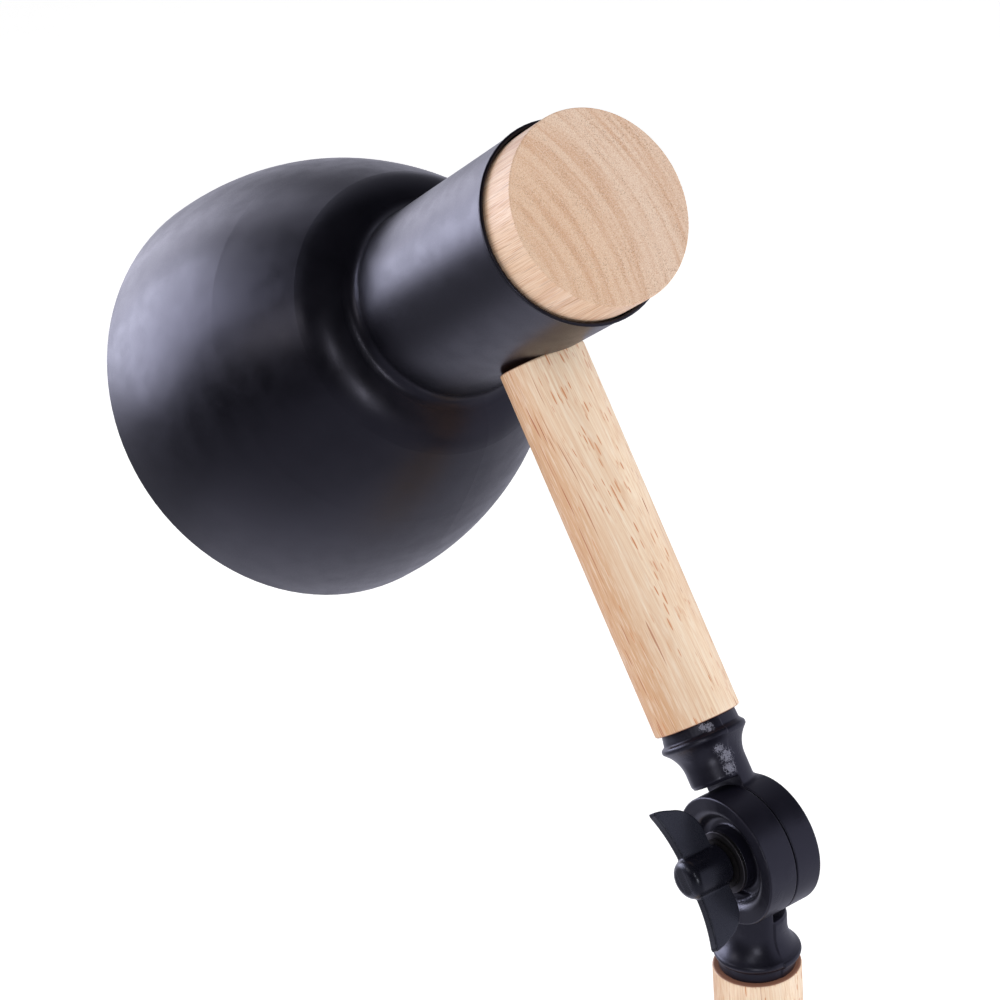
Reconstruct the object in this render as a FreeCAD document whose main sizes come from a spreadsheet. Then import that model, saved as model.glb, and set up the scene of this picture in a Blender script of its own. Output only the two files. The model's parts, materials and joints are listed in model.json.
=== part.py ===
import FreeCAD, Part

import math
import os
import types

import Sketcher

# A desk lamp on two wooden arms. The frame is the desk's: X points the way the head reaches, Y to the
# side of the wing knobs, Z up, and the origin is the middle of the foot pad's underside.
# Turned pieces are drawn as (radius, height) outlines and revolved about their own Z axis.

Vector = FreeCAD.Vector
X_AXIS = Vector(1, 0, 0)
Y_AXIS = Vector(0, 1, 0)
Z_AXIS = Vector(0, 0, 1)

# Driving sizes: millimetres and degrees.
DRIVING = {
    # pose that the lamp is stored in
    "lowerLean": 6.5,
    "upperLean": 39.26,
    # wooden arms
    "dowelRadius": 12.5,
    "lowerDowelLength": 180.0,
    "upperDowelLength": 108.45,
    "dowelBore": 4.0,
    "dowelSocket": 4.95,
    "dowelSocketDepth": 20.0,
    "dowelEdge": 0.7,
    # hollow threaded nipples
    "nippleRadius": 4.85,
    "nippleBore": 3.9,
    "nippleChamfer": 0.4,
    # knuckle castings: collar
    "collarTop": 37.5,
    "collarFoot": 20.4,
    "collarEdge": 1.2,
    "waistRadius": 8.85,
    "coveStart": 24.85,
    "coveRadius": 10.0,
    "beadSide": 11.8,
    "beadFoot": 32.0,
    "beadTop": 34.15,
    "beadRadius": 1.15,
    "ringFootRadius": 11.35,
    "ringTopRadius": 10.8,
    "ringStep": 0.3,
    "stemFoot": 14.0,
    "collarBoreDepth": 12.5,
    "leadHoleRadius": 2.05,
    "leadHoleOffset": 3.25,
    # knuckle castings: drum
    "drumRadius": 18.7,
    "drumEdge": 0.45,
    "frontFace": 10.2,
    "backFace": 8.2,
    "splitPlane": 0.5,
    "halfGap": 0.15,
    "discRecess": 0.5,
    "discRecessRadius": 8.0,
    "grooveInner": 9.5,
    "grooveOuter": 13.2,
    "grooveDepth": 4.0,
    "dishDepth": 3.0,
    "dishRadius": 15.3,
    "dishFloorRadius": 10.9,
    "rimInner": 15.5,
    "rimRound": 3.0,
    "valleyDepth": 4.1,
    "valleyRound": 1.0,
    "valleyLean": 15.0,
    "bossRadius": 9.0,
    "bossTop": 10.0,
    "bossEdge": 0.4,
    "boltHole": 3.06,
    "hexPocketFlats": 10.3,
    "hexPocketDepth": 3.0,
    # clamp bolt, washers and wing knob
    "boltRadius": 3.0,
    "boltFlats": 10.0,
    "boltHead": 4.0,
    "boltLength": 19.8,
    "washerRadius": 9.0,
    "washerThick": 1.0,
    "discRadius": 7.7,
    "discThick": 1.1,
    "knobGap": 0.2,
    "hubRadius": 5.9,
    "hubLength": 12.9,
    "hubRound": 2.6,
    "insertRadius": 4.4,
    "insertLength": 7.0,
    "flangeRadius": 7.2,
    "flangeThick": 0.6,
    "wingSpan": 20.4,
    "wingTip": 13.1,
    "wingEndSpan": 19.0,
    "wingEndFoot": 7.9,
    "wingRootSpan": 10.8,
    "wingFoot": 0.9,
    "wingFrontSpan": 19.5,
    "wingFrontTip": 13.2,
    "wingFront": 10.7,
    "wingEndRound": 20.0,
    "wingUnderRound": 9.0,
    "wingFrontRound": 46.0,
    "wingThick": 3.2,
    "wingTurn": 3.0,
    # shade, spun in one piece with its neck: along is measured forward from the upper arm's axis
    "sheet": 0.8,
    "neckRadius": 28.5,
    "neckTail": 40.8,
    "lipRadius": 28.85,
    "lipRound": 0.6,
    "filletStart": 31.55,
    "filletRadius": 4.5,
    "filletEnd": 35.83,
    "filletEndRadius": 31.61,
    "shoulderStart": 36.04,
    "shoulderStartRadius": 32.27,
    "shoulderEnd": 44.35,
    "shoulderEndRadius": 42.4,
    "shoulderRound": 18.0,
    "bowlMiddle": 72.0,
    "bowlMiddleRadius": 55.6,
    "bowlBackRound": 230.0,
    "bowlMouth": 125.5,
    "bowlMouthRadius": 66.4,
    "bowlFrontRound": 152.0,
    "flareLean": 72.0,
    "shoulderLean": 29.3,
    "middleLean": 21.7,
    "seatPlane": 27.35,
    "seatRadius": 13.6,
    "seatHalfLength": 14.6,
    "dowelTopToNeck": 27.5,
    "nippleHole": 4.93,
    # wooden cap in the neck's tail
    "capRadius": 27.2,
    "capFace": 53.65,
    "capLength": 23.1,
    "capEdge": 0.4,
    "capPilot": 1.4,
    "capPilotDepth": 15.0,
    # holder bracket, nuts and lamp holder
    "bracketThick": 1.5,
    "bracketWidth": 15.0,
    "bracketTail": 30.4,
    "bracketNose": 12.0,
    "bracketFloor": 26.4,
    "bracketReach": 8.0,
    "nutFlats": 14.0,
    "nutHeight": 3.2,
    "nutWasherRadius": 9.0,
    "headNippleTip": 19.5,
    "armLeadTip": 22.0,
    "headLeadTip": 18.0,
    "holderRadius": 19.8,
    "holderTail": 12.2,
    "holderSeam": 27.0,
    "holderMouth": 58.0,
    "holderWall": 1.6,
    "bulbRadius": 22.5,
    "bulbCentre": 86.5,
    "bulbCapRadius": 13.0,
    "bulbCapFoot": 37.0,
    "bulbNeck": 58.6,
    "bulbCollarRadius": 19.7,
    "bulbCollarTop": 75.5,
    "bulbGlass": 0.9,
    # base
    "baseRadius": 80.0,
    "baseTop": 24.0,
    "baseEdge": 4.0,
    "baseFoot": 1.2,
    "padRadius": 68.5,
    "padThick": 2.0,
    "coverRadius": 75.7,
    "coverThick": 1.0,
    "rebateRadius": 76.0,
    "pocketRadius": 68.0,
    "pocketRoof": 17.0,
    "weightRadius": 67.0,
    "weightTop": 16.0,
    "slotHalfWidth": 14.0,
    "slotFront": 64.0,
    "coverScrewCircle": 72.0,
    "coverScrewHead": 2.7,
    "coverScrewShank": 1.4,
    "stemHole": 5.1,
    "stemNippleFoot": 11.4,
    # switch, inlet and wiring
    "switchPlace": 50.0,
    "switchNeck": 5.9,
    "switchBody": 8.5,
    "switchFoot": 5.0,
    "buttonRadius": 4.72,
    "buttonBore": 4.8,
    "buttonTop": 28.6,
    "buttonTravel": 2.0,
    "bezelRadius": 8.8,
    "inletHeight": 10.5,
    "inletBore": 3.3,
    "grommetBarrel": 4.9,
    "grommetFlange": 7.5,
    "leadRadius": 1.1,
    "leadOffset": 2.65,
    "blockRear": -58.0,
    "blockLength": 18.0,
    "blockHeight": 11.0,
    "blockWidth": 22.0,
    "blockPitch": 7.0,
    "blockBore": 2.2,
    "blockTubeWall": 0.75,
}

# Small allowances used all over: how far a cut starts outside a piece, and the play left between
# two pieces that only sit beside each other.
OVERSHOOT = 1.0
PLAY = 0.1

doc = FreeCAD.newDocument("lamp")


class Size:
    """A length that knows its number and the expression that gives it from the sheet."""

    def __init__(self, value, text):
        self.value = value
        self.text = text

    def __add__(self, other):
        other = as_size(other)
        return Size(self.value + other.value, "(" + self.text + " + " + other.text + ")")

    def __sub__(self, other):
        other = as_size(other)
        return Size(self.value - other.value, "(" + self.text + " - " + other.text + ")")

    def __mul__(self, factor):
        return Size(self.value * factor, "(" + self.text + " * " + str(factor) + ")")

    def __neg__(self):
        return self * -1


def as_size(number):
    return number if isinstance(number, Size) else Size(float(number), str(float(number)))


def make_sheet():
    """The spreadsheet of driving sizes, and the same sizes as named values."""
    sheet = doc.addObject("Spreadsheet::Sheet", "dims")
    for row, (name, number) in enumerate(DRIVING.items(), start=1):
        sheet.set("A" + str(row), name)
        sheet.set("B" + str(row), str(number))
        sheet.setAlias("B" + str(row), name)
    doc.recompute()
    return types.SimpleNamespace(
        **{name: Size(number, "dims." + name) for name, number in DRIVING.items()}
    )


d = make_sheet()

# Where the pieces stand: the base knuckle, the elbow, and the neck's axis above the upper arm.
BASE_KNUCKLE = Vector(0, 0, d.baseTop.value + d.collarTop.value)
LOWER_TILT = FreeCAD.Rotation(Y_AXIS, d.lowerLean.value)
UPPER_TILT = FreeCAD.Rotation(Y_AXIS, d.upperLean.value)
LOWER_REACH = (d.collarTop * 2 + d.lowerDowelLength).value
ELBOW = BASE_KNUCKLE + LOWER_TILT.multVec(Z_AXIS) * LOWER_REACH
UPPER_REACH = (d.collarTop + d.upperDowelLength + d.dowelTopToNeck).value
HEAD = ELBOW + UPPER_TILT.multVec(Z_AXIS) * UPPER_REACH
HEAD_TURN = FreeCAD.Rotation(Y_AXIS, 90 + d.upperLean.value)
HALF_TURN_Y = FreeCAD.Rotation(Y_AXIS, 180)
HALF_TURN_Z = FreeCAD.Rotation(Z_AXIS, 180)
PARTS = []


def bind(obj, prop, size):
    """Set a property and keep it tied to the sheet."""
    size = as_size(size)
    setattr(obj, prop, size.value)
    obj.setExpression(prop, size.text)


def new_body(label):
    body = doc.addObject("PartDesign::Body", label)
    body.Label = label
    PARTS.append(body)
    return body


def origin_plane(body, role):
    return next(f for f in body.Origin.OriginFeatures if f.Role == role)


def new_sketch(body, role, offset=0):
    """A sketch on one of the body's own origin planes, lifted along the plane's normal."""
    sketch = body.newObject("Sketcher::SketchObject", body.Name + "_sketch")
    sketch.AttachmentSupport = [(origin_plane(body, role), "")]
    sketch.MapMode = "FlatFace"
    offset = as_size(offset)
    sketch.AttachmentOffset = FreeCAD.Placement(Vector(0, 0, offset.value), FreeCAD.Rotation())
    sketch.setExpression("AttachmentOffset.Base.z", offset.text)
    return sketch


def dimension(sketch, size, *constraint):
    """One driven constraint, bound to the sheet."""
    index = sketch.addConstraint(Sketcher.Constraint(*constraint, size.value))
    sketch.setExpression("Constraints[" + str(index) + "]", size.text)


def pin_point(sketch, geometry, point, x, y):
    """Hold a point at (x, y) from the sketch's origin."""
    for size, kind, axis in ((x, "DistanceX", -2), (y, "DistanceY", -1)):
        if abs(size.value) < 1e-9:
            sketch.addConstraint(Sketcher.Constraint("PointOnObject", geometry, point, axis))
        else:
            dimension(sketch, size, kind, -1, 1, geometry, point)


def arc_between(start, end, radius):
    """An arc of a radius from start to end: left of the way there if the radius is positive."""
    chord = end - start
    middle = (start + end) * 0.5
    side = Vector(-chord.y, chord.x, 0).normalize()
    height = math.sqrt(max(radius * radius - chord.Length ** 2 / 4, 0))
    centre = middle + side * math.copysign(height, radius)
    first = math.atan2(start.y - centre.y, start.x - centre.x)
    last = math.atan2(end.y - centre.y, end.x - centre.x)
    if radius < 0:
        first, last = last, first
    circle = Part.Circle(centre, Z_AXIS, abs(radius))
    return Part.ArcOfCircle(circle, first, last)


def draw(sketch, outline):
    """A closed outline of (x, y) corners. A third value is the radius of the arc to the next corner."""
    corners = [(as_size(c[0]), as_size(c[1]), as_size(c[2]) if len(c) > 2 else None) for c in outline]
    ends = []
    for n, (x, y, radius) in enumerate(corners):
        following = corners[(n + 1) % len(corners)]
        start = Vector(x.value, y.value, 0)
        end = Vector(following[0].value, following[1].value, 0)
        if radius is None:
            geometry = sketch.addGeometry(Part.LineSegment(start, end), False)
            ends.append((geometry, 1, 2))
        else:
            geometry = sketch.addGeometry(arc_between(start, end, radius.value), False)
            ends.append((geometry, 1, 2) if radius.value > 0 else (geometry, 2, 1))
    for n, (geometry, start, end) in enumerate(ends):
        after, after_start, _ = ends[(n + 1) % len(ends)]
        sketch.addConstraint(Sketcher.Constraint("Coincident", geometry, end, after, after_start))
        x, y, radius = corners[n]
        pin_point(sketch, geometry, start, x, y)
        if radius is not None:
            positive = radius if radius.value > 0 else -radius
            dimension(sketch, positive, "Radius", geometry)


def draw_circle(sketch, x, y, radius):
    x, y, radius = as_size(x), as_size(y), as_size(radius)
    geometry = sketch.addGeometry(Part.Circle(Vector(x.value, y.value, 0), Z_AXIS, radius.value), False)
    pin_point(sketch, geometry, 3, x, y)
    dimension(sketch, radius, "Radius", geometry)


def turn(body, outline, role="XZ_Plane", kind="PartDesign::Revolution"):
    """Revolve an outline about the sketch's vertical axis: Z on the XZ plane, Y on the XY plane."""
    sketch = new_sketch(body, role)
    draw(sketch, outline)
    feature = body.newObject(kind, body.Name + "_turned")
    feature.Profile = sketch
    feature.ReferenceAxis = (sketch, ["V_Axis"])
    feature.Angle = 360
    return feature


def pad(body, sketch, length, midplane=False, backwards=False):
    feature = body.newObject("PartDesign::Pad", body.Name + "_pad")
    feature.Profile = sketch
    bind(feature, "Length", length)
    feature.Midplane = midplane
    feature.Reversed = backwards
    return feature


def cut(body, sketch, depth, backwards=False, midplane=False):
    """A pocket that has to take something away."""
    doc.recompute()
    before = body.Shape.Volume
    feature = body.newObject("PartDesign::Pocket", body.Name + "_pocket")
    feature.Profile = sketch
    bind(feature, "Length", depth)
    feature.Midplane = midplane
    feature.Reversed = backwards
    doc.recompute()
    if body.Shape.Volume > before - 1e-3:
        raise RuntimeError(body.Label + ": a pocket cuts nothing")
    return feature


def drill(body, role, x, y, radius, depth, offset=0, backwards=False, midplane=False):
    sketch = new_sketch(body, role, offset)
    draw_circle(sketch, x, y, radius)
    return cut(body, sketch, depth, backwards, midplane)


def hexagon(flats):
    """Corners of a hexagon by its width across flats."""
    corner = flats * (1 / math.sqrt(3))
    angles = [math.radians(60 * k) for k in range(6)]
    return [(corner * round(math.cos(a), 9), corner * round(math.sin(a), 9)) for a in angles]


def ring(label, inner, outer, thick, edge=0):
    """A plain or round-edged washer, standing on Z = 0."""
    body = new_body(label)
    outer, thick = as_size(outer), as_size(thick)
    top = [(outer, thick - edge, edge), (outer - edge, thick)] if edge else [(outer, thick)]
    turn(body, [(inner, 0), (outer, 0)] + top + [(inner, thick)])
    return body


def hex_nut(label, flats, bore, height):
    body = new_body(label)
    sketch = new_sketch(body, "XY_Plane")
    draw(sketch, hexagon(flats))
    draw_circle(sketch, 0, 0, bore)
    pad(body, sketch, height)
    return body


def place(body, position, rotation=None, shift=None):
    """Stand a piece at a position, turned, then shifted along its own axes."""
    rotation = rotation or FreeCAD.Rotation()
    offset = rotation.multVec(shift) if shift else Vector()
    body.Placement = FreeCAD.Placement(position + offset, rotation)
    return body


def along_y(forward=True):
    """The rotation that lays a turned piece's Z axis along the knuckle's Y axis."""
    return FreeCAD.Rotation(X_AXIS, -90 if forward else 90)


def circle_edges(feature, radius, height):
    """Names of a feature's circular edges of a radius, square to Z at a height."""
    names = []
    for n, edge in enumerate(feature.Shape.Edges, start=1):
        curve = edge.Curve
        if isinstance(curve, Part.Circle) and abs(curve.Radius - radius) < 1e-4:
            if abs(curve.Center.z - height) < 1e-4 and abs(abs(curve.Axis.z) - 1) < 1e-6:
                names.append("Edge" + str(n))
    return names


# ---- knuckles: every hinge is two castings, lapped face to face and clamped by a wing knob ----


def casting(label, face, split, hex_pocket):
    """Collar towards +Z, half drum about Y on the +Y side of the split plane."""
    body = new_body(label)
    turn(
        body,
        [
            (0, d.stemFoot),
            (d.waistRadius, d.stemFoot),
            (d.waistRadius, d.coveStart, -d.coveRadius),
            (d.beadSide, d.beadFoot, d.beadRadius),
            (d.beadSide, d.beadTop),
            (d.ringFootRadius, d.beadTop + d.ringStep),
            (d.ringTopRadius, d.collarTop),
            (0, d.collarTop),
        ],
    )
    lap_face = split + d.halfGap
    lap = new_sketch(body, "XY_Plane", d.stemFoot - OVERSHOOT)
    far = d.drumRadius
    draw(lap, [(-far, -far), (far, -far), (far, lap_face), (-far, lap_face)])
    lapped = cut(body, lap, d.collarFoot - d.stemFoot + OVERSHOOT, backwards=True)
    rounded = body.newObject("PartDesign::Fillet", label + "_round")
    rounded.Base = (lapped, circle_edges(lapped, d.waistRadius.value, d.collarFoot.value))
    bind(rounded, "Radius", d.collarEdge)
    doc.recompute()
    drum_half(body, face, lap_face, back_face(face) if hex_pocket else front_face(face))
    drill(body, "XY_Plane", 0, 0, d.dowelSocket, d.collarBoreDepth, d.collarTop)
    hole_start = d.collarTop - d.collarBoreDepth + OVERSHOOT
    hole_length = hole_start - d.grooveInner - d.leadRadius
    drill(body, "XY_Plane", 0, d.leadHoleOffset, d.leadHoleRadius, hole_length, hole_start)
    if hex_pocket:
        floor = face - d.dishDepth
        sketch = new_sketch(body, "XZ_Plane", -floor)
        draw(sketch, hexagon(d.hexPocketFlats))
        cut(body, sketch, d.hexPocketDepth, backwards=True)
    return body


def back_face(face):
    """Outer face of a back half, from its rim to its bore: a shallow dish."""
    floor, slope = face - d.dishDepth, 1.2
    return [
        (d.dishRadius, face, slope),
        (d.dishRadius - slope, face - slope),
        (d.dishFloorRadius + slope, floor + slope, -slope),
        (d.dishFloorRadius, floor),
        (d.boltHole, floor),
    ]


def front_face(face):
    """Outer face of a front half, from its rim to its bore: a rounded rim, a valley and a raised boss."""
    floor = face - d.valleyDepth
    lean = math.radians(d.valleyLean.value)
    across, down = math.cos(lean), 1 - math.sin(lean)
    wall_top = face - d.rimRound * down
    wall_side = d.rimInner - d.rimRound * across
    wall_foot = floor + d.valleyRound * down
    foot_side = wall_side - (wall_top - wall_foot) * math.tan(lean)
    return [
        (d.rimInner, face, d.rimRound),
        (wall_side, wall_top),
        (foot_side, wall_foot, -d.valleyRound),
        (foot_side - d.valleyRound * across, floor),
        (d.bossRadius + d.valleyRound, floor, -d.valleyRound),
        (d.bossRadius, floor + d.valleyRound),
        (d.bossRadius, d.bossTop - d.bossEdge, d.bossEdge),
        (d.bossRadius - d.bossEdge, d.bossTop),
        (d.boltHole, d.bossTop),
    ]


def drum_half(body, face, lap_face, outer_face):
    """Half of the hinge's drum, turned about Y, with a groove for the lead inside."""
    turn(
        body,
        [
            (d.boltHole, lap_face + d.discRecess),
            (d.discRecessRadius, lap_face + d.discRecess),
            (d.discRecessRadius, lap_face),
            (d.grooveInner, lap_face),
            (d.grooveInner, lap_face + d.grooveDepth),
            (d.grooveOuter, lap_face + d.grooveDepth),
            (d.grooveOuter, lap_face),
            (d.drumRadius, lap_face),
            (d.drumRadius, face - d.drumEdge, d.drumEdge),
            (d.drumRadius - d.drumEdge, face),
        ] + outer_face,
        role="XY_Plane",
    )


def clamp_bolt(label):
    """Hexagon bolt along +Z, its head below Z = 0."""
    body = new_body(label)
    sketch = new_sketch(body, "XY_Plane")
    draw(sketch, hexagon(d.boltFlats))
    pad(body, sketch, d.boltHead, backwards=True)
    chamfer = 0.5
    turn(
        body,
        [
            (0, -OVERSHOOT),
            (d.boltRadius, -OVERSHOOT),
            (d.boltRadius, d.boltLength - chamfer),
            (d.boltRadius - chamfer, d.boltLength),
            (0, d.boltLength),
        ],
    )
    return body


def wing_knob(label):
    """Moulded hub along +Z with two wings that sweep forward, bored for its metal insert."""
    body = new_body(label)
    wings = new_sketch(body, "XZ_Plane")
    hub_side = d.hubRadius - OVERSHOOT
    draw(
        wings,
        [
            (-d.wingSpan, d.wingTip, d.wingEndRound),
            (-d.wingEndSpan, d.wingEndFoot, d.wingUnderRound),
            (-d.wingRootSpan, d.wingFoot),
            (d.wingRootSpan, d.wingFoot, d.wingUnderRound),
            (d.wingEndSpan, d.wingEndFoot, d.wingEndRound),
            (d.wingSpan, d.wingTip),
            (d.wingFrontSpan, d.wingFrontTip, -d.wingFrontRound),
            (hub_side, d.wingFront),
            (-hub_side, d.wingFront, -d.wingFrontRound),
            (-d.wingFrontSpan, d.wingFrontTip),
        ],
    )
    pad(body, wings, d.wingThick, midplane=True)
    end = d.hubLength
    turn(
        body,
        [
            (0, 0),
            (d.hubRadius, 0),
            (d.hubRadius, end - d.hubRound, d.hubRound),
            (d.hubRadius - d.hubRound, end),
            (0, end),
        ],
    )
    drill(body, "XY_Plane", 0, 0, d.insertRadius, d.insertLength, backwards=True)
    return body


def knob_insert(label):
    """Threaded metal bush that the knob turns on, with a flange that presses on the washer."""
    body = new_body(label)
    side = d.insertRadius - 0.02
    turn(
        body,
        [
            (d.boltHole, 0),
            (d.flangeRadius, 0),
            (d.flangeRadius, d.flangeThick),
            (side, d.flangeThick),
            (side, d.flangeThick + d.insertLength),
            (d.boltHole, d.flangeThick + d.insertLength),
        ],
    )
    return body


def hinge(prefix, position, tilt):
    """The clamp parts of one knuckle: bolt from the back, washer and wing knob at the front."""
    pocket_floor = d.dishDepth + d.hexPocketDepth - d.backFace
    head_seat = (pocket_floor - PLAY).value
    bolt = clamp_bolt(prefix + "_bolt")
    place(bolt, position, tilt.multiply(along_y()), Vector(0, 0, head_seat))
    disc_foot = (d.splitPlane - d.discThick * 0.5).value
    disc = ring(prefix + "_friction_disc", d.boltRadius + 3 * PLAY, d.discRadius, d.discThick)
    place(disc, position, tilt.multiply(along_y()), Vector(0, 0, disc_foot))
    washer_edge = 0.3
    washer = ring(
        prefix + "_washer", d.boltRadius + 3 * PLAY, d.washerRadius, d.washerThick, edge=washer_edge
    )
    place(washer, position, tilt.multiply(along_y()), Vector(0, 0, d.bossTop.value))
    flange_foot = d.bossTop + d.washerThick + d.knobGap
    knob_foot = flange_foot + d.flangeThick + PLAY
    turned = tilt.multiply(FreeCAD.Rotation(Y_AXIS, d.wingTurn.value - 90)).multiply(along_y())
    knob = wing_knob(prefix + "_wing_knob")
    place(knob, position, turned, Vector(0, 0, knob_foot.value))
    insert = knob_insert(prefix + "_knob_insert")
    place(insert, position, turned, Vector(0, 0, flange_foot.value))


# ---- arms ----


def dowel(label, length):
    """A round wooden arm, bored for the lead and counterbored at both ends for the nipples."""
    body = new_body(label)
    edge, depth = d.dowelEdge, d.dowelSocketDepth
    turn(
        body,
        [
            (d.dowelSocket, 0),
            (d.dowelRadius - edge, 0, edge),
            (d.dowelRadius, edge),
            (d.dowelRadius, length - edge, edge),
            (d.dowelRadius - edge, length),
            (d.dowelSocket, length),
            (d.dowelSocket, length - depth),
            (d.dowelBore, length - depth),
            (d.dowelBore, depth),
            (d.dowelSocket, depth),
        ],
    )
    return body


def nipple(label, length):
    """A hollow threaded tube, chamfered at both ends."""
    body = new_body(label)
    bevel = d.nippleChamfer
    turn(
        body,
        [
            (d.nippleBore, 0),
            (d.nippleRadius - bevel, 0),
            (d.nippleRadius, bevel),
            (d.nippleRadius, length - bevel),
            (d.nippleRadius - bevel, length),
            (d.nippleBore, length),
        ],
    )
    return body


def straight_lead(label, start, end):
    """A round lead between two points."""
    lead = doc.addObject("Part::Cylinder", label)
    lead.Label = label
    bind(lead, "Radius", d.leadRadius)
    lead.Height = (end - start).Length
    lead.Placement = FreeCAD.Placement(start, FreeCAD.Rotation(Z_AXIS, end - start))
    PARTS.append(lead)


def bent_lead(label, start, corner, end, bend):
    """A round lead of two straight runs and the arc between them."""
    into = (corner - start).normalize()
    out = (end - corner).normalize()
    first = corner - into * bend
    last = corner + out * bend
    centre = first + out * bend
    middle = centre - (out - into).normalize() * bend
    edges = [
        Part.LineSegment(start, first).toShape(),
        Part.Arc(first, middle, last).toShape(),
        Part.LineSegment(last, end).toShape(),
    ]
    section = Part.Wire([Part.Circle(start, into, d.leadRadius.value).toShape()])
    lead = doc.addObject("Part::Feature", label)
    lead.Label = label
    lead.Shape = Part.Wire(edges).makePipeShell([section], True, False)
    PARTS.append(lead)


def collar_nipple(label, position, rotation):
    """The nipple that joins a collar to its dowel, a little short of both sockets' ends."""
    end_gap = 3 * PLAY
    reach = d.collarBoreDepth + d.dowelSocketDepth - 2 * end_gap
    low = (d.collarTop - d.collarBoreDepth + end_gap).value
    place(nipple(label, reach), position, rotation, Vector(0, 0, low))


def lead_start():
    """How far from a hinge's axis a lead comes out into the groove."""
    return (d.grooveOuter - d.leadRadius + 4 * PLAY).value


def arm(prefix, foot, tilt, length):
    """One arm: foot casting, dowel, nipples. The foot casting's drum is on the back of its knuckle."""
    place(
        casting(prefix + "_arm_foot", d.backFace, -d.splitPlane, True),
        foot, tilt.multiply(HALF_TURN_Z),
    )
    place(dowel(prefix + "_dowel", length), foot, tilt, Vector(0, 0, d.collarTop.value))
    collar_nipple(prefix + "_foot_nipple", foot, tilt)


def arms():
    arm("lower", BASE_KNUCKLE, LOWER_TILT, d.lowerDowelLength)
    arm("upper", ELBOW, UPPER_TILT, d.upperDowelLength)
    down = LOWER_TILT.multiply(HALF_TURN_Y)
    place(casting("elbow_casting", d.frontFace, d.splitPlane, False), ELBOW, down)
    collar_nipple("elbow_nipple", ELBOW, down)
    sunk = d.dowelSocketDepth - 3 * PLAY
    dowel_top = d.collarTop + d.upperDowelLength
    head_nipple = nipple("head_nipple", sunk + d.dowelTopToNeck - d.headNippleTip)
    place(head_nipple, ELBOW, UPPER_TILT, Vector(0, 0, (dowel_top - sunk).value))
    groove = lead_start()
    aside = d.leadOffset.value
    straight_lead(
        "lower_arm_lead",
        BASE_KNUCKLE + LOWER_TILT.multVec(Vector(0, -aside, groove)),
        BASE_KNUCKLE + LOWER_TILT.multVec(Vector(0, aside, LOWER_REACH - groove)),
    )
    straight_lead(
        "upper_arm_lead",
        ELBOW + UPPER_TILT.multVec(Vector(0, -aside, groove)),
        ELBOW + UPPER_TILT.multVec(Vector(0, 0, UPPER_REACH - d.armLeadTip.value)),
    )
    hinge("base", BASE_KNUCKLE, LOWER_TILT)
    hinge("elbow", ELBOW, UPPER_TILT)


# ---- head: local +Z runs forward along the neck, local +X down to the upper arm ----


def inner_wall(radius, along, lean, arc=None):
    """The corner one sheet's thickness inside an outer corner, where the wall leans from the axis."""
    angle = math.radians(lean.value)
    corner = (radius - d.sheet * math.cos(angle), along + d.sheet * math.sin(angle))
    return corner + (arc,) if arc else corner


def shade():
    """Bowl and neck spun from one sheet, with a rolled lip and a flat seat pressed for the arm."""
    body = new_body("shade")
    wall = d.sheet
    tail = -d.neckTail
    lip = d.lipRound
    turn(
        body,
        [
            (d.neckRadius, tail + lip * 2.5),
            (d.neckRadius, d.filletStart, -d.filletRadius),
            (d.filletEndRadius, d.filletEnd),
            (d.shoulderStartRadius, d.shoulderStart, d.shoulderRound),
            (d.shoulderEndRadius, d.shoulderEnd, d.bowlBackRound),
            (d.bowlMiddleRadius, d.bowlMiddle, d.bowlFrontRound),
            (d.bowlMouthRadius, d.bowlMouth),
            (d.bowlMouthRadius - wall, d.bowlMouth, -(d.bowlFrontRound - wall)),
            inner_wall(d.bowlMiddleRadius, d.bowlMiddle, d.middleLean, -(d.bowlBackRound - wall)),
            inner_wall(d.shoulderEndRadius, d.shoulderEnd, d.shoulderLean, -(d.shoulderRound - wall)),
            inner_wall(d.shoulderStartRadius, d.shoulderStart, d.flareLean),
            inner_wall(d.filletEndRadius, d.filletEnd, d.flareLean, d.filletRadius + wall),
            (d.neckRadius - wall, d.filletStart),
            (d.neckRadius - wall, tail + lip, lip),
            (d.lipRadius - lip, tail, lip),
            (d.lipRadius, tail + lip),
        ],
    )
    # the seat is filled flush with the neck, then faced flat where the arm's end meets it
    fill = new_sketch(body, "XY_Plane")
    inside = d.seatPlane - wall
    half_chord = math.sqrt(d.neckRadius.value ** 2 - inside.value ** 2)
    draw(fill, [(inside, -half_chord, d.neckRadius), (inside, half_chord)])
    pad(body, fill, d.seatHalfLength * 2, midplane=True)
    facing = 4.0
    drill(body, "YZ_Plane", 0, 0, d.seatRadius, facing, d.seatPlane, backwards=True)
    drill(body, "YZ_Plane", 0, 0, d.nippleHole, facing, inside - OVERSHOOT, backwards=True)
    place(body, HEAD, HEAD_TURN)


def wood_cap():
    body = new_body("wood_cap")
    face, edge = -d.capFace, d.capEdge
    back = face + d.capLength
    turn(
        body,
        [
            (0, face),
            (d.capRadius - edge, face, edge),
            (d.capRadius, face + edge),
            (d.capRadius, back - edge),
            (d.capRadius - edge, back),
            (d.capPilot, back),
            (d.capPilot, back - d.capPilotDepth),
            (0, back - d.capPilotDepth),
        ],
    )
    place(body, HEAD, HEAD_TURN)


def cap_screw():
    """Pan-head wood screw through the bracket's tail into the cap."""
    body = new_body("cap_screw")
    seat = -d.bracketTail + d.bracketThick
    shank, length, point = d.capPilot - 0.05, 14.0, 2.0
    head_radius, head_top, edge = 3.8, seat + 2.4, 1.2
    turn(
        body,
        [
            (0, seat - length),
            (shank, seat - length + point),
            (shank, seat),
            (head_radius, seat),
            (head_radius, head_top - edge, edge),
            (head_radius - edge, head_top),
            (0, head_top),
        ],
    )
    place(body, HEAD, HEAD_TURN)


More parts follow.
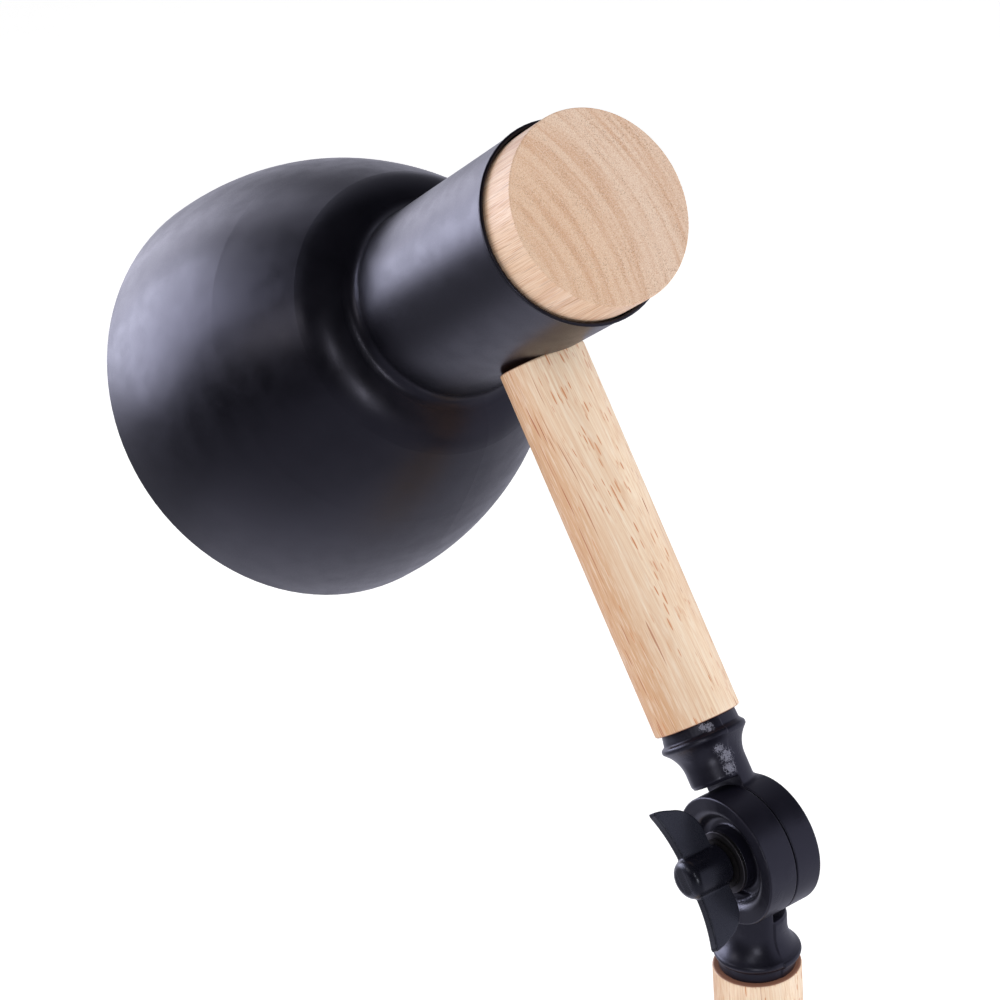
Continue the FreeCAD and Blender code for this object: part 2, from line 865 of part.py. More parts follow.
def holder_bracket():
    """U-shaped strap: its floor is clamped at the seat, its ends carry the cap and the lamp holder."""
    body = new_body("holder_bracket")
    thick, floor, reach = d.bracketThick, d.bracketFloor, d.bracketReach
    tail, nose = -d.bracketTail, d.bracketNose
    sketch = new_sketch(body, "XZ_Plane")
    draw(
        sketch,
        [
            (floor, tail),
            (floor, nose),
            (-reach, nose),
            (-reach, nose - thick),
            (floor - thick, nose - thick),
            (floor - thick, tail + thick),
            (-reach, tail + thick),
            (-reach, tail),
        ],
    )
    pad(body, sketch, d.bracketWidth, midplane=True)
    through = thick + 2 * OVERSHOOT
    screw_hole = d.capPilot + 5 * PLAY
    drill(body, "YZ_Plane", 0, 0, d.nippleHole, through, floor - thick - OVERSHOOT, backwards=True)
    drill(body, "XY_Plane", 0, 0, d.nippleHole, through, nose - thick - OVERSHOOT, backwards=True)
    drill(body, "XY_Plane", 0, 0, screw_hole, through, tail - OVERSHOOT, backwards=True)
    place(body, HEAD, HEAD_TURN)


def holder_shells():
    """The holder's rear cap and its skirt, both thin-walled."""
    wall, outer = d.holderWall, d.holderRadius
    tail, seam, mouth = d.holderTail, d.holderSeam, d.holderMouth
    bore, boss = d.nippleRadius + PLAY, 7.0
    boss_top, rim_foot, rim = tail + 3.0, tail + 5.0, tail + 8.0
    cap = new_body("holder_cap")
    turn(
        cap,
        [
            (bore, tail),
            (boss, tail),
            (boss, boss_top),
            (outer - 3.0, rim_foot),
            (outer, rim),
            (outer, seam),
            (outer - wall, seam),
            (outer - wall, rim + 0.6),
            (outer - 3.8, rim_foot + wall),
            (bore, boss_top + wall),
        ],
    )
    edge = 1.0
    skirt = new_body("holder_skirt")
    turn(
        skirt,
        [
            (outer - wall, seam + PLAY),
            (outer, seam + PLAY),
            (outer - edge, mouth - edge, edge),
            (outer - 2 * edge, mouth),
            (outer - edge - wall, mouth),
        ],
    )
    return [cap, skirt]


def holder_inside():
    """The holder's moulded core with its screw shell and centre contact."""
    foot, top = d.holderSeam - 3.0, d.holderSeam + 7.0
    width = d.holderRadius - d.holderWall - 3 * PLAY
    shell_bore, shell_outer, shell_top = 13.3, 13.9, d.holderMouth - 3.0
    core = new_body("holder_core")
    turn(core, [(0, foot), (width, foot), (width, d.holderSeam), (width - 3 * PLAY, top), (0, top)])
    shell = new_body("holder_screw_shell")
    turn(
        shell,
        [
            (shell_bore, top + PLAY),
            (shell_outer, top + PLAY),
            (shell_outer, shell_top),
            (shell_bore, shell_top),
        ],
    )
    contact_radius, contact_height = 3.5, 1.6
    contact = new_body("holder_contact")
    contact_foot = top + PLAY
    contact_top = contact_foot + contact_height
    turn(
        contact,
        [(0, contact_foot), (contact_radius, contact_foot), (contact_radius, contact_top), (0, contact_top)],
    )
    return [core, shell, contact]


def lamp_holder():
    """Screw lamp holder, hung on a short nipple that a nut holds in the bracket's nose."""
    for body in holder_shells() + holder_inside():
        place(body, HEAD, HEAD_TURN)
    strap = d.bracketNose - d.bracketThick
    nipple_length, nipple_foot = 10.0, (strap - 4.0).value
    place(nipple("holder_nipple", as_size(nipple_length)), HEAD, HEAD_TURN, Vector(0, 0, nipple_foot))
    nut = hex_nut("holder_nut", d.nutFlats, d.nippleRadius + 0.05, d.nutHeight)
    place(nut, HEAD, HEAD_TURN, Vector(0, 0, (strap - d.nutHeight - 0.05).value))


def globe_drop(radius, aside):
    """How far below its centre a globe's wall stands this far from the axis."""
    drop = math.sqrt(radius.value ** 2 - aside.value ** 2)
    return Size(drop, "sqrt(" + radius.text + " ^ 2 - " + aside.text + " ^ 2)")


def bulb():
    """A small screw bulb: metal cap, moulded collar and frosted globe."""
    radius, foot, neck = d.bulbCapRadius, d.bulbCapFoot, d.bulbNeck
    tip, tip_foot, sheet = 4.8, foot - 0.9, 0.6
    cap = new_body("bulb_cap")
    turn(
        cap,
        [
            (0, tip_foot),
            (tip, tip_foot),
            (tip, foot + 1.2),
            (radius, foot + 4.0),
            (radius, neck),
            (radius - sheet, neck),
            (radius - sheet, foot + 4.4),
            (0, foot + 1.8),
        ],
    )
    collar_wall = 1.5
    collar = new_body("bulb_collar")
    turn(
        collar,
        [
            (radius - 1.0, neck + PLAY),
            (radius + 0.8, neck + PLAY),
            (d.bulbCollarRadius, d.bulbCollarTop),
            (d.bulbCollarRadius - collar_wall, d.bulbCollarTop),
            (radius - 0.9, neck + collar_wall),
        ],
    )
    outer, inner = d.bulbRadius, d.bulbRadius - d.bulbGlass
    rim, rim_inner = d.bulbCollarRadius, d.bulbCollarRadius - d.bulbGlass
    globe = new_body("bulb_globe")
    turn(
        globe,
        [
            (rim_inner, d.bulbCentre - globe_drop(inner, rim_inner)),
            (rim, d.bulbCentre - globe_drop(outer, rim), outer),
            (0, d.bulbCentre + outer),
            (0, d.bulbCentre + inner, -inner),
        ],
    )
    for body in (cap, collar, globe):
        place(body, HEAD, HEAD_TURN)


def head():
    shade()
    wood_cap()
    cap_screw()
    holder_bracket()
    lamp_holder()
    bulb()
    inwards = HEAD_TURN.multiply(FreeCAD.Rotation(Y_AXIS, -90))
    seat = -(d.bracketFloor - d.bracketThick - PLAY).value
    washer = ring("neck_washer", d.nippleHole, d.nutWasherRadius, d.washerThick)
    place(washer, HEAD, inwards, Vector(0, 0, seat))
    nut = hex_nut("neck_nut", d.nutFlats, d.nippleRadius + 0.02, d.nutHeight)
    place(nut, HEAD, inwards, Vector(0, 0, seat + d.washerThick.value + 0.05))
    bend = 8.0
    lead_end = (d.holderSeam - 3.2).value
    bent_lead(
        "head_lead",
        HEAD + HEAD_TURN.multVec(Vector(d.headLeadTip.value, 0, 0)),
        HEAD,
        HEAD + HEAD_TURN.multVec(Vector(0, 0, lead_end)),
        bend,
    )


# ---- base ----


def base_disc():
    """Turned wooden disc: rebate for the cover, pocket for the weight, holes for stem, switch, inlet."""
    body = new_body("base_disc")
    rebate_roof = d.padThick + d.coverThick
    edge, foot_edge = d.baseEdge, 1.5
    turn(
        body,
        [
            (0, d.pocketRoof),
            (d.pocketRadius, d.pocketRoof),
            (d.pocketRadius, rebate_roof),
            (d.rebateRadius, rebate_roof),
            (d.rebateRadius, d.baseFoot),
            (d.baseRadius - foot_edge, d.baseFoot, foot_edge),
            (d.baseRadius, d.baseFoot + foot_edge),
            (d.baseRadius, d.baseTop - edge, edge),
            (d.baseRadius - edge, d.baseTop),
            (0, d.baseTop),
        ],
    )
    top, through = d.baseTop + OVERSHOOT, 10.0
    drill(body, "XY_Plane", 0, 0, d.stemHole, through, top)
    drill(body, "XY_Plane", d.switchPlace, 0, d.switchNeck + 2 * PLAY, through, top)
    rear, inlet_depth = -(d.baseRadius + OVERSHOOT), 20.0
    inlet = d.grommetBarrel + PLAY
    drill(body, "YZ_Plane", 0, d.inletHeight, inlet, inlet_depth, rear, backwards=True)


def base_weight():
    """Cast slug, slotted for the stem's nut, the switch and the wiring."""
    body = new_body("base_weight")
    foot = d.padThick + d.coverThick + 0.05
    turn(body, [(0, foot), (d.weightRadius, foot), (d.weightRadius, d.weightTop), (0, d.weightTop)])
    slot = new_sketch(body, "XY_Plane", d.weightTop + OVERSHOOT)
    half = d.slotHalfWidth
    rear = -(d.weightRadius + OVERSHOOT)
    draw(slot, [(rear, -half), (d.slotFront, -half), (d.slotFront, half), (rear, half)])
    cut(body, slot, d.weightTop)


def cover_screws():
    """Four pan-head wood screws in one group."""
    screws = []
    head, shank, sunk = 1.6, 9.0, 0.5
    seat = d.padThick.value
    for k in range(4):
        angle = math.radians(45 + 90 * k)
        at = Vector(math.cos(angle), math.sin(angle), 0) * d.coverScrewCircle.value
        pan = Part.makeCylinder(d.coverScrewHead.value, head, at + Vector(0, 0, seat - head))
        thread = Part.makeCylinder(d.coverScrewShank.value, shank, at + Vector(0, 0, seat - sunk))
        screws.append(pan.fuse(thread).removeSplitter())
    add_group("cover_screws", screws)


def add_group(label, solids):
    """Several small solids of one kind, kept as one piece."""
    group = doc.addObject("Part::Feature", label)
    group.Label = label
    group.Shape = Part.makeCompound(solids)
    PARTS.append(group)


def screw_circle_sketch(body, radius):
    """Four circles where the cover screws go."""
    sketch = new_sketch(body, "XY_Plane", d.padThick)
    spot = d.coverScrewCircle * round(math.sqrt(0.5), 9)
    for x in (spot, -spot):
        for y in (spot, -spot):
            draw_circle(sketch, x, y, radius)
    return sketch


def base_cover():
    body = new_body("base_cover")
    sketch = new_sketch(body, "XY_Plane", d.padThick)
    draw_circle(sketch, 0, 0, d.coverRadius)
    pad(body, sketch, d.coverThick)
    holes = screw_circle_sketch(body, d.coverScrewShank + PLAY)
    cut(body, holes, d.coverThick * 2, midplane=True)


def foot_pad():
    glue = 0.02
    ring("foot_pad", 0, d.padRadius, d.padThick - glue)


def screw_pilots(body):
    """Pilot holes that the cover screws turn into."""
    depth = 9.5
    cut(body, screw_circle_sketch(body, d.coverScrewShank + 0.05), depth, backwards=True)


def stem():
    """The base's own casting, standing on the disc, and the nipple, washer and nut that hold it."""
    place(casting("base_casting", d.frontFace, d.splitPlane, False), BASE_KNUCKLE, HALF_TURN_Y)
    foot = d.stemNippleFoot
    top = d.baseTop + d.collarBoreDepth - 3 * PLAY
    place(nipple("stem_nipple", top - foot), Vector(0, 0, foot.value))
    washer = ring("stem_washer", d.stemHole, d.nutWasherRadius + 2, d.washerThick)
    place(washer, Vector(0, 0, (d.pocketRoof - d.washerThick - 0.05).value))
    nut = hex_nut("stem_nut", d.nutFlats, d.nippleRadius + 0.05, d.nutHeight)
    place(nut, Vector(0, 0, (d.pocketRoof - d.washerThick - d.nutHeight - 0.1).value))


def switch():
    """Latching push switch: housing hung in the disc, ring nut on top, button that travels."""
    at = Vector(d.switchPlace.value, 0, 0)
    housing = new_body("switch_housing")
    roof = d.pocketRoof - 0.05
    neck_top = d.baseTop + 1.7
    floor = d.switchFoot + 4
    turn(
        housing,
        [
            (0, d.switchFoot),
            (d.switchBody, d.switchFoot),
            (d.switchBody, roof),
            (d.switchNeck, roof),
            (d.switchNeck, neck_top),
            (d.buttonBore, neck_top),
            (d.buttonBore, floor),
            (0, floor),
        ],
    )
    place(housing, at)
    bezel_height, bezel_edge = 2.2, 1.2
    bezel = ring("switch_bezel", d.switchNeck + 0.05, d.bezelRadius, bezel_height, edge=bezel_edge)
    place(bezel, at + Vector(0, 0, d.baseTop.value + 0.02))
    button = new_body("switch_button")
    button_foot = floor + d.buttonTravel + 1
    round_edge = 1.0
    turn(
        button,
        [
            (0, button_foot),
            (d.buttonRadius, button_foot),
            (d.buttonRadius, d.buttonTop - round_edge, round_edge),
            (d.buttonRadius - round_edge, d.buttonTop),
            (0, d.buttonTop),
        ],
    )
    place(button, at)


def cord_grommet():
    """Flanged bush in the disc's rear, where the cord comes in."""
    body = new_body("cord_grommet")
    flange, edge = 1.8, 0.8
    length = 14.5
    turn(
        body,
        [
            (d.inletBore, 0),
            (d.grommetFlange - edge, 0, edge),
            (d.grommetFlange, edge),
            (d.grommetFlange, flange),
            (d.grommetBarrel, flange),
            (d.grommetBarrel, length),
            (d.inletBore, length),
        ],
    )
    start = Vector(-(d.baseRadius.value + flange + PLAY), 0, d.inletHeight.value)
    place(body, start, FreeCAD.Rotation(Y_AXIS, 90))


def block_lines():
    """Places across the slot of the block's three ways: the middle one is in line with the stem's lead."""
    return [d.leadOffset + d.blockPitch * k for k in (-1, 0, 1)]


def terminal_block():
    """Moulded three-way block with its brass tubes, on the cover under the slot."""
    block = new_body("terminal_block")
    foot = d.padThick + d.coverThick + PLAY
    half = d.blockWidth * 0.5
    left, right, top = d.leadOffset - half, d.leadOffset + half, foot + d.blockHeight
    sketch = new_sketch(block, "YZ_Plane", d.blockRear)
    draw(sketch, [(left, foot), (right, foot), (right, top), (left, top)])
    pad(block, sketch, d.blockLength)
    centre = foot + d.blockHeight * 0.5
    holes = new_sketch(block, "YZ_Plane", d.blockRear - OVERSHOOT)
    for line in block_lines():
        draw_circle(holes, line, centre, d.blockBore)
    cut(block, holes, d.blockLength + 2 * OVERSHOOT, backwards=True)
    tubes = []
    length = d.blockLength.value - 2 * OVERSHOOT
    outer = d.blockBore.value - 0.05
    for line in block_lines():
        at = Vector(d.blockRear.value + OVERSHOOT, line.value, centre.value)
        tube = Part.makeCylinder(outer, length, at, X_AXIS)
        bore = Part.makeCylinder(outer - d.blockTubeWall.value, length, at, X_AXIS)
        tubes.append(tube.cut(bore))
    add_group("terminal_tubes", tubes)


def base_leads():
    """One lead from the block up the stem, one from the block to the switch."""
    height = (d.padThick + d.coverThick + PLAY + d.blockHeight * 0.5).value
    start = (d.blockRear + d.blockLength - 6.0).value
    aside, bend = d.leadOffset.value, 5.0
    bent_lead(
        "base_lead",
        Vector(start, aside, height),
        Vector(0, aside, height),
        Vector(0, aside, BASE_KNUCKLE.z - lead_start()),
        bend,
    )
    line = block_lines()[0].value
    switch_side = (d.switchPlace - d.switchBody + 3 * PLAY).value
    straight_lead("switch_lead", Vector(start, line, height), Vector(switch_side, line, height))


def base():
    base_disc()
    screw_pilots(PARTS[-1])
    base_weight()
    base_cover()
    cover_screws()
    foot_pad()
    stem()
    switch()
    cord_grommet()
    terminal_block()
    base_leads()


def check_and_write():
    doc.recompute()
    for obj in doc.Objects:
        if "Invalid" in obj.State or "Error" in obj.State:
            raise RuntimeError(obj.Label + " failed: " + ", ".join(obj.State))
    os.makedirs("parts", exist_ok=True)
    for piece in PARTS:
        if piece.Shape.isNull() or not piece.Shape.isValid():
            raise RuntimeError(piece.Label + " has no valid shape")
        piece.Shape.exportStep(os.path.join("parts", piece.Label + ".step"))
        print(piece.Label, round(piece.Shape.Volume, 1), len(piece.Shape.Solids))


base()
arms()
head()
check_and_write()
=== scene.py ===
import json
import math

import bpy
import numpy as np
from mathutils import Matrix, Vector


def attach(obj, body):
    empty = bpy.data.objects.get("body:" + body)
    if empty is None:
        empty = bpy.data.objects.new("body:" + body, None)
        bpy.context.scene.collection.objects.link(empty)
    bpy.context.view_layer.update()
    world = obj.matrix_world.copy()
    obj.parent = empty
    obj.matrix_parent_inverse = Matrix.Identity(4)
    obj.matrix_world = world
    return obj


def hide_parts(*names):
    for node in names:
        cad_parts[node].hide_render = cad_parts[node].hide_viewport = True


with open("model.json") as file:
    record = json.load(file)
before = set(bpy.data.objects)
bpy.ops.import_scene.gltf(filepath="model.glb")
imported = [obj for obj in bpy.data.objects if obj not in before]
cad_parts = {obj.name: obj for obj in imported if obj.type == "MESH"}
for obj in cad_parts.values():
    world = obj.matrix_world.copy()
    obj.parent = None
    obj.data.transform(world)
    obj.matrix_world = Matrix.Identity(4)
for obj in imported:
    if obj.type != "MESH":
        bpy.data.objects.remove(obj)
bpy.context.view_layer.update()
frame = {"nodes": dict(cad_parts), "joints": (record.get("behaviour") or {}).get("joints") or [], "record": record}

# Lengths below are millimetres in each piece's own frame; the row frame is metres.
mm = 0.001

# Where the pieces stand.

joints = {joint["name"]: joint for joint in frame["joints"]}
baseKnuckle = Vector(joints["base_tilt"]["pos_m"])
elbow = Vector(joints["elbow_tilt"]["pos_m"])
neckCentre = Vector(joints["head_swivel"]["pos_m"])
swivelAxis = Vector(joints["head_swivel"]["axis"])
lowerArm = elbow - baseKnuckle
lowerLean = math.degrees(math.atan2(lowerArm.x, lowerArm.z))
upperLean = math.degrees(math.atan2(swivelAxis.x, swivelAxis.z))


def stand(place, *turns):
    # a frame at a place, turned in order about its own axes: ("Y", 30) and so on
    result = Matrix.Translation(place)
    for axis, angle in turns:
        result = result @ Matrix.Rotation(math.radians(angle), 4, axis)
    return result


lowerFrame = stand(baseKnuckle, ("Y", lowerLean))
upperFrame = stand(elbow, ("Y", upperLean))
headFrame = stand(neckCentre, ("Y", 90 + upperLean))
baseFrame = Matrix.Identity(4)


# Mesh helpers.

def drawn(corners, step):
    # an outline of (x, y) or (x, y, radius): a radius is an arc to the next corner,
    # with its centre on the left if it is positive
    points = []
    for n, corner in enumerate(corners):
        start = np.array(corner[:2], float)
        end = np.array(corners[(n + 1) % len(corners)][:2], float)
        points.append(start)
        if len(corner) < 3 or not corner[2]:
            continue
        radius = corner[2]
        chord = end - start
        length = np.hypot(*chord)
        side = np.array([-chord[1], chord[0]]) / length
        height = math.sqrt(max(radius * radius - length * length / 4, 0))
        centre = (start + end) / 2 + side * math.copysign(height, radius)
        first = math.atan2(*(start - centre)[::-1])
        last = math.atan2(*(end - centre)[::-1])
        turn = (last - first) % (2 * math.pi) if radius > 0 else -((first - last) % (2 * math.pi))
        count = max(3, int(abs(turn) * abs(radius) / step), int(abs(turn) / 0.12))
        for k in range(1, count):
            angle = first + turn * k / count
            points.append(centre + abs(radius) * np.array([math.cos(angle), math.sin(angle)]))
    return np.array(points)


def addPiece(name, points, faces, place, body, slot, material, replaced):
    # a mesh in its own frame's millimetres becomes a piece in the row frame
    turn = np.array(place.to_3x3())
    shift = np.array(place.translation)
    world = np.asarray(points, float) * mm @ turn.T + shift
    mesh = bpy.data.meshes.new(name)
    mesh.from_pydata(world.tolist(), [], [list(map(int, face)) for face in faces])
    mesh.validate()
    mesh.shade_smooth()
    piece = bpy.data.objects.new(name, mesh)
    bpy.context.scene.collection.objects.link(piece)
    piece.data.materials.append(material)
    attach(piece, body)
    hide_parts(*replaced)


def outlineField(outline, points):
    # signed distance from points to a closed outline, negative inside
    best = np.full(len(points), 1e9)
    inside = np.zeros(len(points), bool)
    for start, end in zip(outline, np.roll(outline, -1, 0)):
        edge = end - start
        away = points - start
        along = np.clip(away @ edge / max(edge @ edge, 1e-12), 0, 1)
        best = np.minimum(best, ((away - along[:, None] * edge) ** 2).sum(1))
        if start[1] != end[1]:
            between = (start[1] > points[:, 1]) != (end[1] > points[:, 1])
            reach = start[0] + (points[:, 1] - start[1]) / edge[1] * edge[0]
            inside ^= between & (points[:, 0] < reach)
    return np.where(inside, -1, 1) * np.sqrt(best)


def tableField(corners, pitch=0.1, margin=6):
    # a drawn outline's distance, looked up in a table between its grid points
    outline = drawn(corners, step=0.15)
    low = np.floor(outline.min(0)) - margin
    high = np.ceil(outline.max(0)) + margin
    low[0] = max(low[0], -margin)
    counts = np.round((high - low) / pitch).astype(int) + 1
    u, v = np.meshgrid(low[0] + pitch * np.arange(counts[0]), low[1] + pitch * np.arange(counts[1]),
                       indexing="ij")
    table = outlineField(outline, np.stack([u.ravel(), v.ravel()], 1)).reshape(counts)

    def look(x, y):
        i = np.clip((x - low[0]) / pitch, 0, counts[0] - 1.001)
        j = np.clip((y - low[1]) / pitch, 0, counts[1] - 1.001)
        i0, j0 = i.astype(int), j.astype(int)
        fi, fj = i - i0, j - j0
        lower = table[i0, j0] * (1 - fi) + table[i0 + 1, j0] * fi
        upper = table[i0, j0 + 1] * (1 - fi) + table[i0 + 1, j0 + 1] * fi
        return lower * (1 - fj) + upper * fj

    return look


def hexagon(u, v):
    # distance from the middle across the nearest flat of a hexagon
    angles = [k * math.pi / 3 + math.pi / 6 for k in range(6)]
    return np.max([u * math.cos(angle) + v * math.sin(angle) for angle in angles], 0)


def softMin(a, b, fillet):
    # the nearer of two fields, with a fillet where they meet
    blend = np.clip(0.5 + 0.5 * (b - a) / fillet, 0, 1)
    return b * (1 - blend) + a * blend - fillet * blend * (1 - blend)


def softMax(a, b, fillet):
    return -softMin(-a, -b, fillet)


def skin(field, low, high, step, passes=4):
    # the surface where a field is zero, as points and quads
    low = np.array(low, float) - 2 * step
    counts = np.ceil((np.array(high, float) + 2 * step - low) / step).astype(int) + 1
    axes = [low[k] + step * np.arange(counts[k]) for k in range(3)]
    value = field(*np.meshgrid(*axes, indexing="ij"))
    cells = counts - 1
    total = np.zeros((cells.prod(), 3))
    hits = np.zeros(cells.prod())
    quads = []
    for axis in range(3):
        before = np.take(value, range(counts[axis] - 1), axis)
        after = np.take(value, range(1, counts[axis]), axis)
        crossing = (before < 0) != (after < 0)
        index = np.argwhere(crossing)
        a, b = before[crossing], after[crossing]
        point = index.astype(float)
        point[:, axis] += a / (a - b)
        u, v = (axis + 1) % 3, (axis + 2) % 3
        ring = []
        for du, dv in ((-1, -1), (0, -1), (0, 0), (-1, 0)):
            cell = index.copy()
            cell[:, u] += du
            cell[:, v] += dv
            flat = np.ravel_multi_index(cell.T, cells)
            hits += np.bincount(flat, minlength=len(hits))
            for k in range(3):
                total[:, k] += np.bincount(flat, point[:, k], len(hits))
            ring.append(flat)
        ring = np.stack(ring, 1)
        quads.append(np.where((a < 0)[:, None], ring, ring[:, ::-1]))
    used = hits > 0
    number = np.cumsum(used) - 1
    points = low + total[used] / hits[used][:, None] * step
    quads = number[np.concatenate(quads)]
    reach = step * 0.5
    for _ in range(passes):
        here = field(*points.T)
        slope = np.zeros_like(points)
        for k in range(3):
            shift = np.zeros(3)
            shift[k] = reach * 0.4
            slope[:, k] = (field(*(points + shift).T) - field(*(points - shift).T)) / (2 * shift[k])
        steep = np.maximum((slope ** 2).sum(1), 0.2)
        move = -(here / steep)[:, None] * slope
        points = points + np.clip(move, -reach, reach)
    return points, quads


# Material helpers.

def addNode(tree, kind, inputs=None, **settings):
    node = tree.nodes.new(kind)
    for key, value in settings.items():
        setattr(node, key, value)
    for key, value in (inputs or {}).items():
        if isinstance(value, bpy.types.NodeSocket):
            tree.links.new(value, node.inputs[key])
        else:
            node.inputs[key].default_value = value
    return node


def newMaterial(name, **values):
    material = bpy.data.materials.new(name)
    material.use_nodes = True
    tree = material.node_tree
    tree.nodes.clear()
    surface = addNode(tree, "ShaderNodeBsdfPrincipled")
    output = addNode(tree, "ShaderNodeOutputMaterial")
    tree.links.new(surface.outputs["BSDF"], output.inputs["Surface"])
    for key, value in values.items():
        surface.inputs[key.replace("_", " ")].default_value = value
    return material, tree, surface


def stretched(tree, point, factors):
    return addNode(tree, "ShaderNodeVectorMath", {0: point, 1: factors}, operation="MULTIPLY").outputs[0]


def localPoint(tree, place):
    # a point in a piece's own frame, in millimetres
    where = addNode(tree, "ShaderNodeTexCoord")
    turned = addNode(tree, "ShaderNodeMapping", {
        "Vector": where.outputs["Object"], "Location": place.translation, "Rotation": place.to_euler(),
    }, vector_type="TEXTURE")
    return stretched(tree, turned.outputs[0], (1000, 1000, 1000))


def noiseAt(tree, point, scale, detail=2, roughness=0.5, distortion=0):
    return addNode(tree, "ShaderNodeTexNoise", {
        "Vector": point, "Scale": scale, "Detail": detail, "Roughness": roughness, "Distortion": distortion,
    }).outputs["Fac"]


def spread(tree, value, low, high, toLow=0, toHigh=1, smooth=True):
    kind = "SMOOTHSTEP" if smooth else "LINEAR"
    return addNode(tree, "ShaderNodeMapRange", {
        "Value": value, "From Min": low, "From Max": high, "To Min": toLow, "To Max": toHigh,
    }, interpolation_type=kind).outputs[0]


def sums(tree, a, b, operation="ADD"):
    return addNode(tree, "ShaderNodeMath", {0: a, 1: b}, operation=operation).outputs[0]


def mixColours(tree, factor, a, b):
    node = addNode(tree, "ShaderNodeMix", data_type="RGBA", blend_type="MIX")
    for key, value in ((0, factor), (6, a), (7, b)):
        if isinstance(value, bpy.types.NodeSocket):
            tree.links.new(value, node.inputs[key])
        else:
            node.inputs[key].default_value = value if key == 0 else (*value, 1)[:4]
    return node.outputs[2]


def bumpFrom(tree, surface, height, strength, distance):
    bump = addNode(tree, "ShaderNodeBump", {"Height": height, "Strength": strength, "Distance": distance})
    tree.links.new(bump.outputs[0], surface.inputs["Normal"])


def srgb(*levels):
    # 0..255 screen levels to linear light
    return tuple((v / 255 / 12.92) if v <= 10 else ((v / 255 + 0.055) / 1.055) ** 2.4 for v in levels)


# Wood.

def poreField(tree, point, crowd, widths):
    # one slender pore in every cell, wider where they crowd, some of them faint
    cells = addNode(tree, "ShaderNodeTexVoronoi", {"Vector": point, "Scale": 1})
    chance = addNode(tree, "ShaderNodeSeparateXYZ", {0: cells.outputs["Color"]})
    size = spread(tree, chance.outputs[0], 0, 1, 0.7, 1.2)
    width = sums(tree, spread(tree, crowd, 0.40, 0.62, *widths), size, "MULTIPLY")
    mask = spread(tree, sums(tree, width, cells.outputs["Distance"], "SUBTRACT"), -0.03, 0.08)
    return sums(tree, mask, spread(tree, chance.outputs[1], 0, 0.9, 0.3, 1), "MULTIPLY")


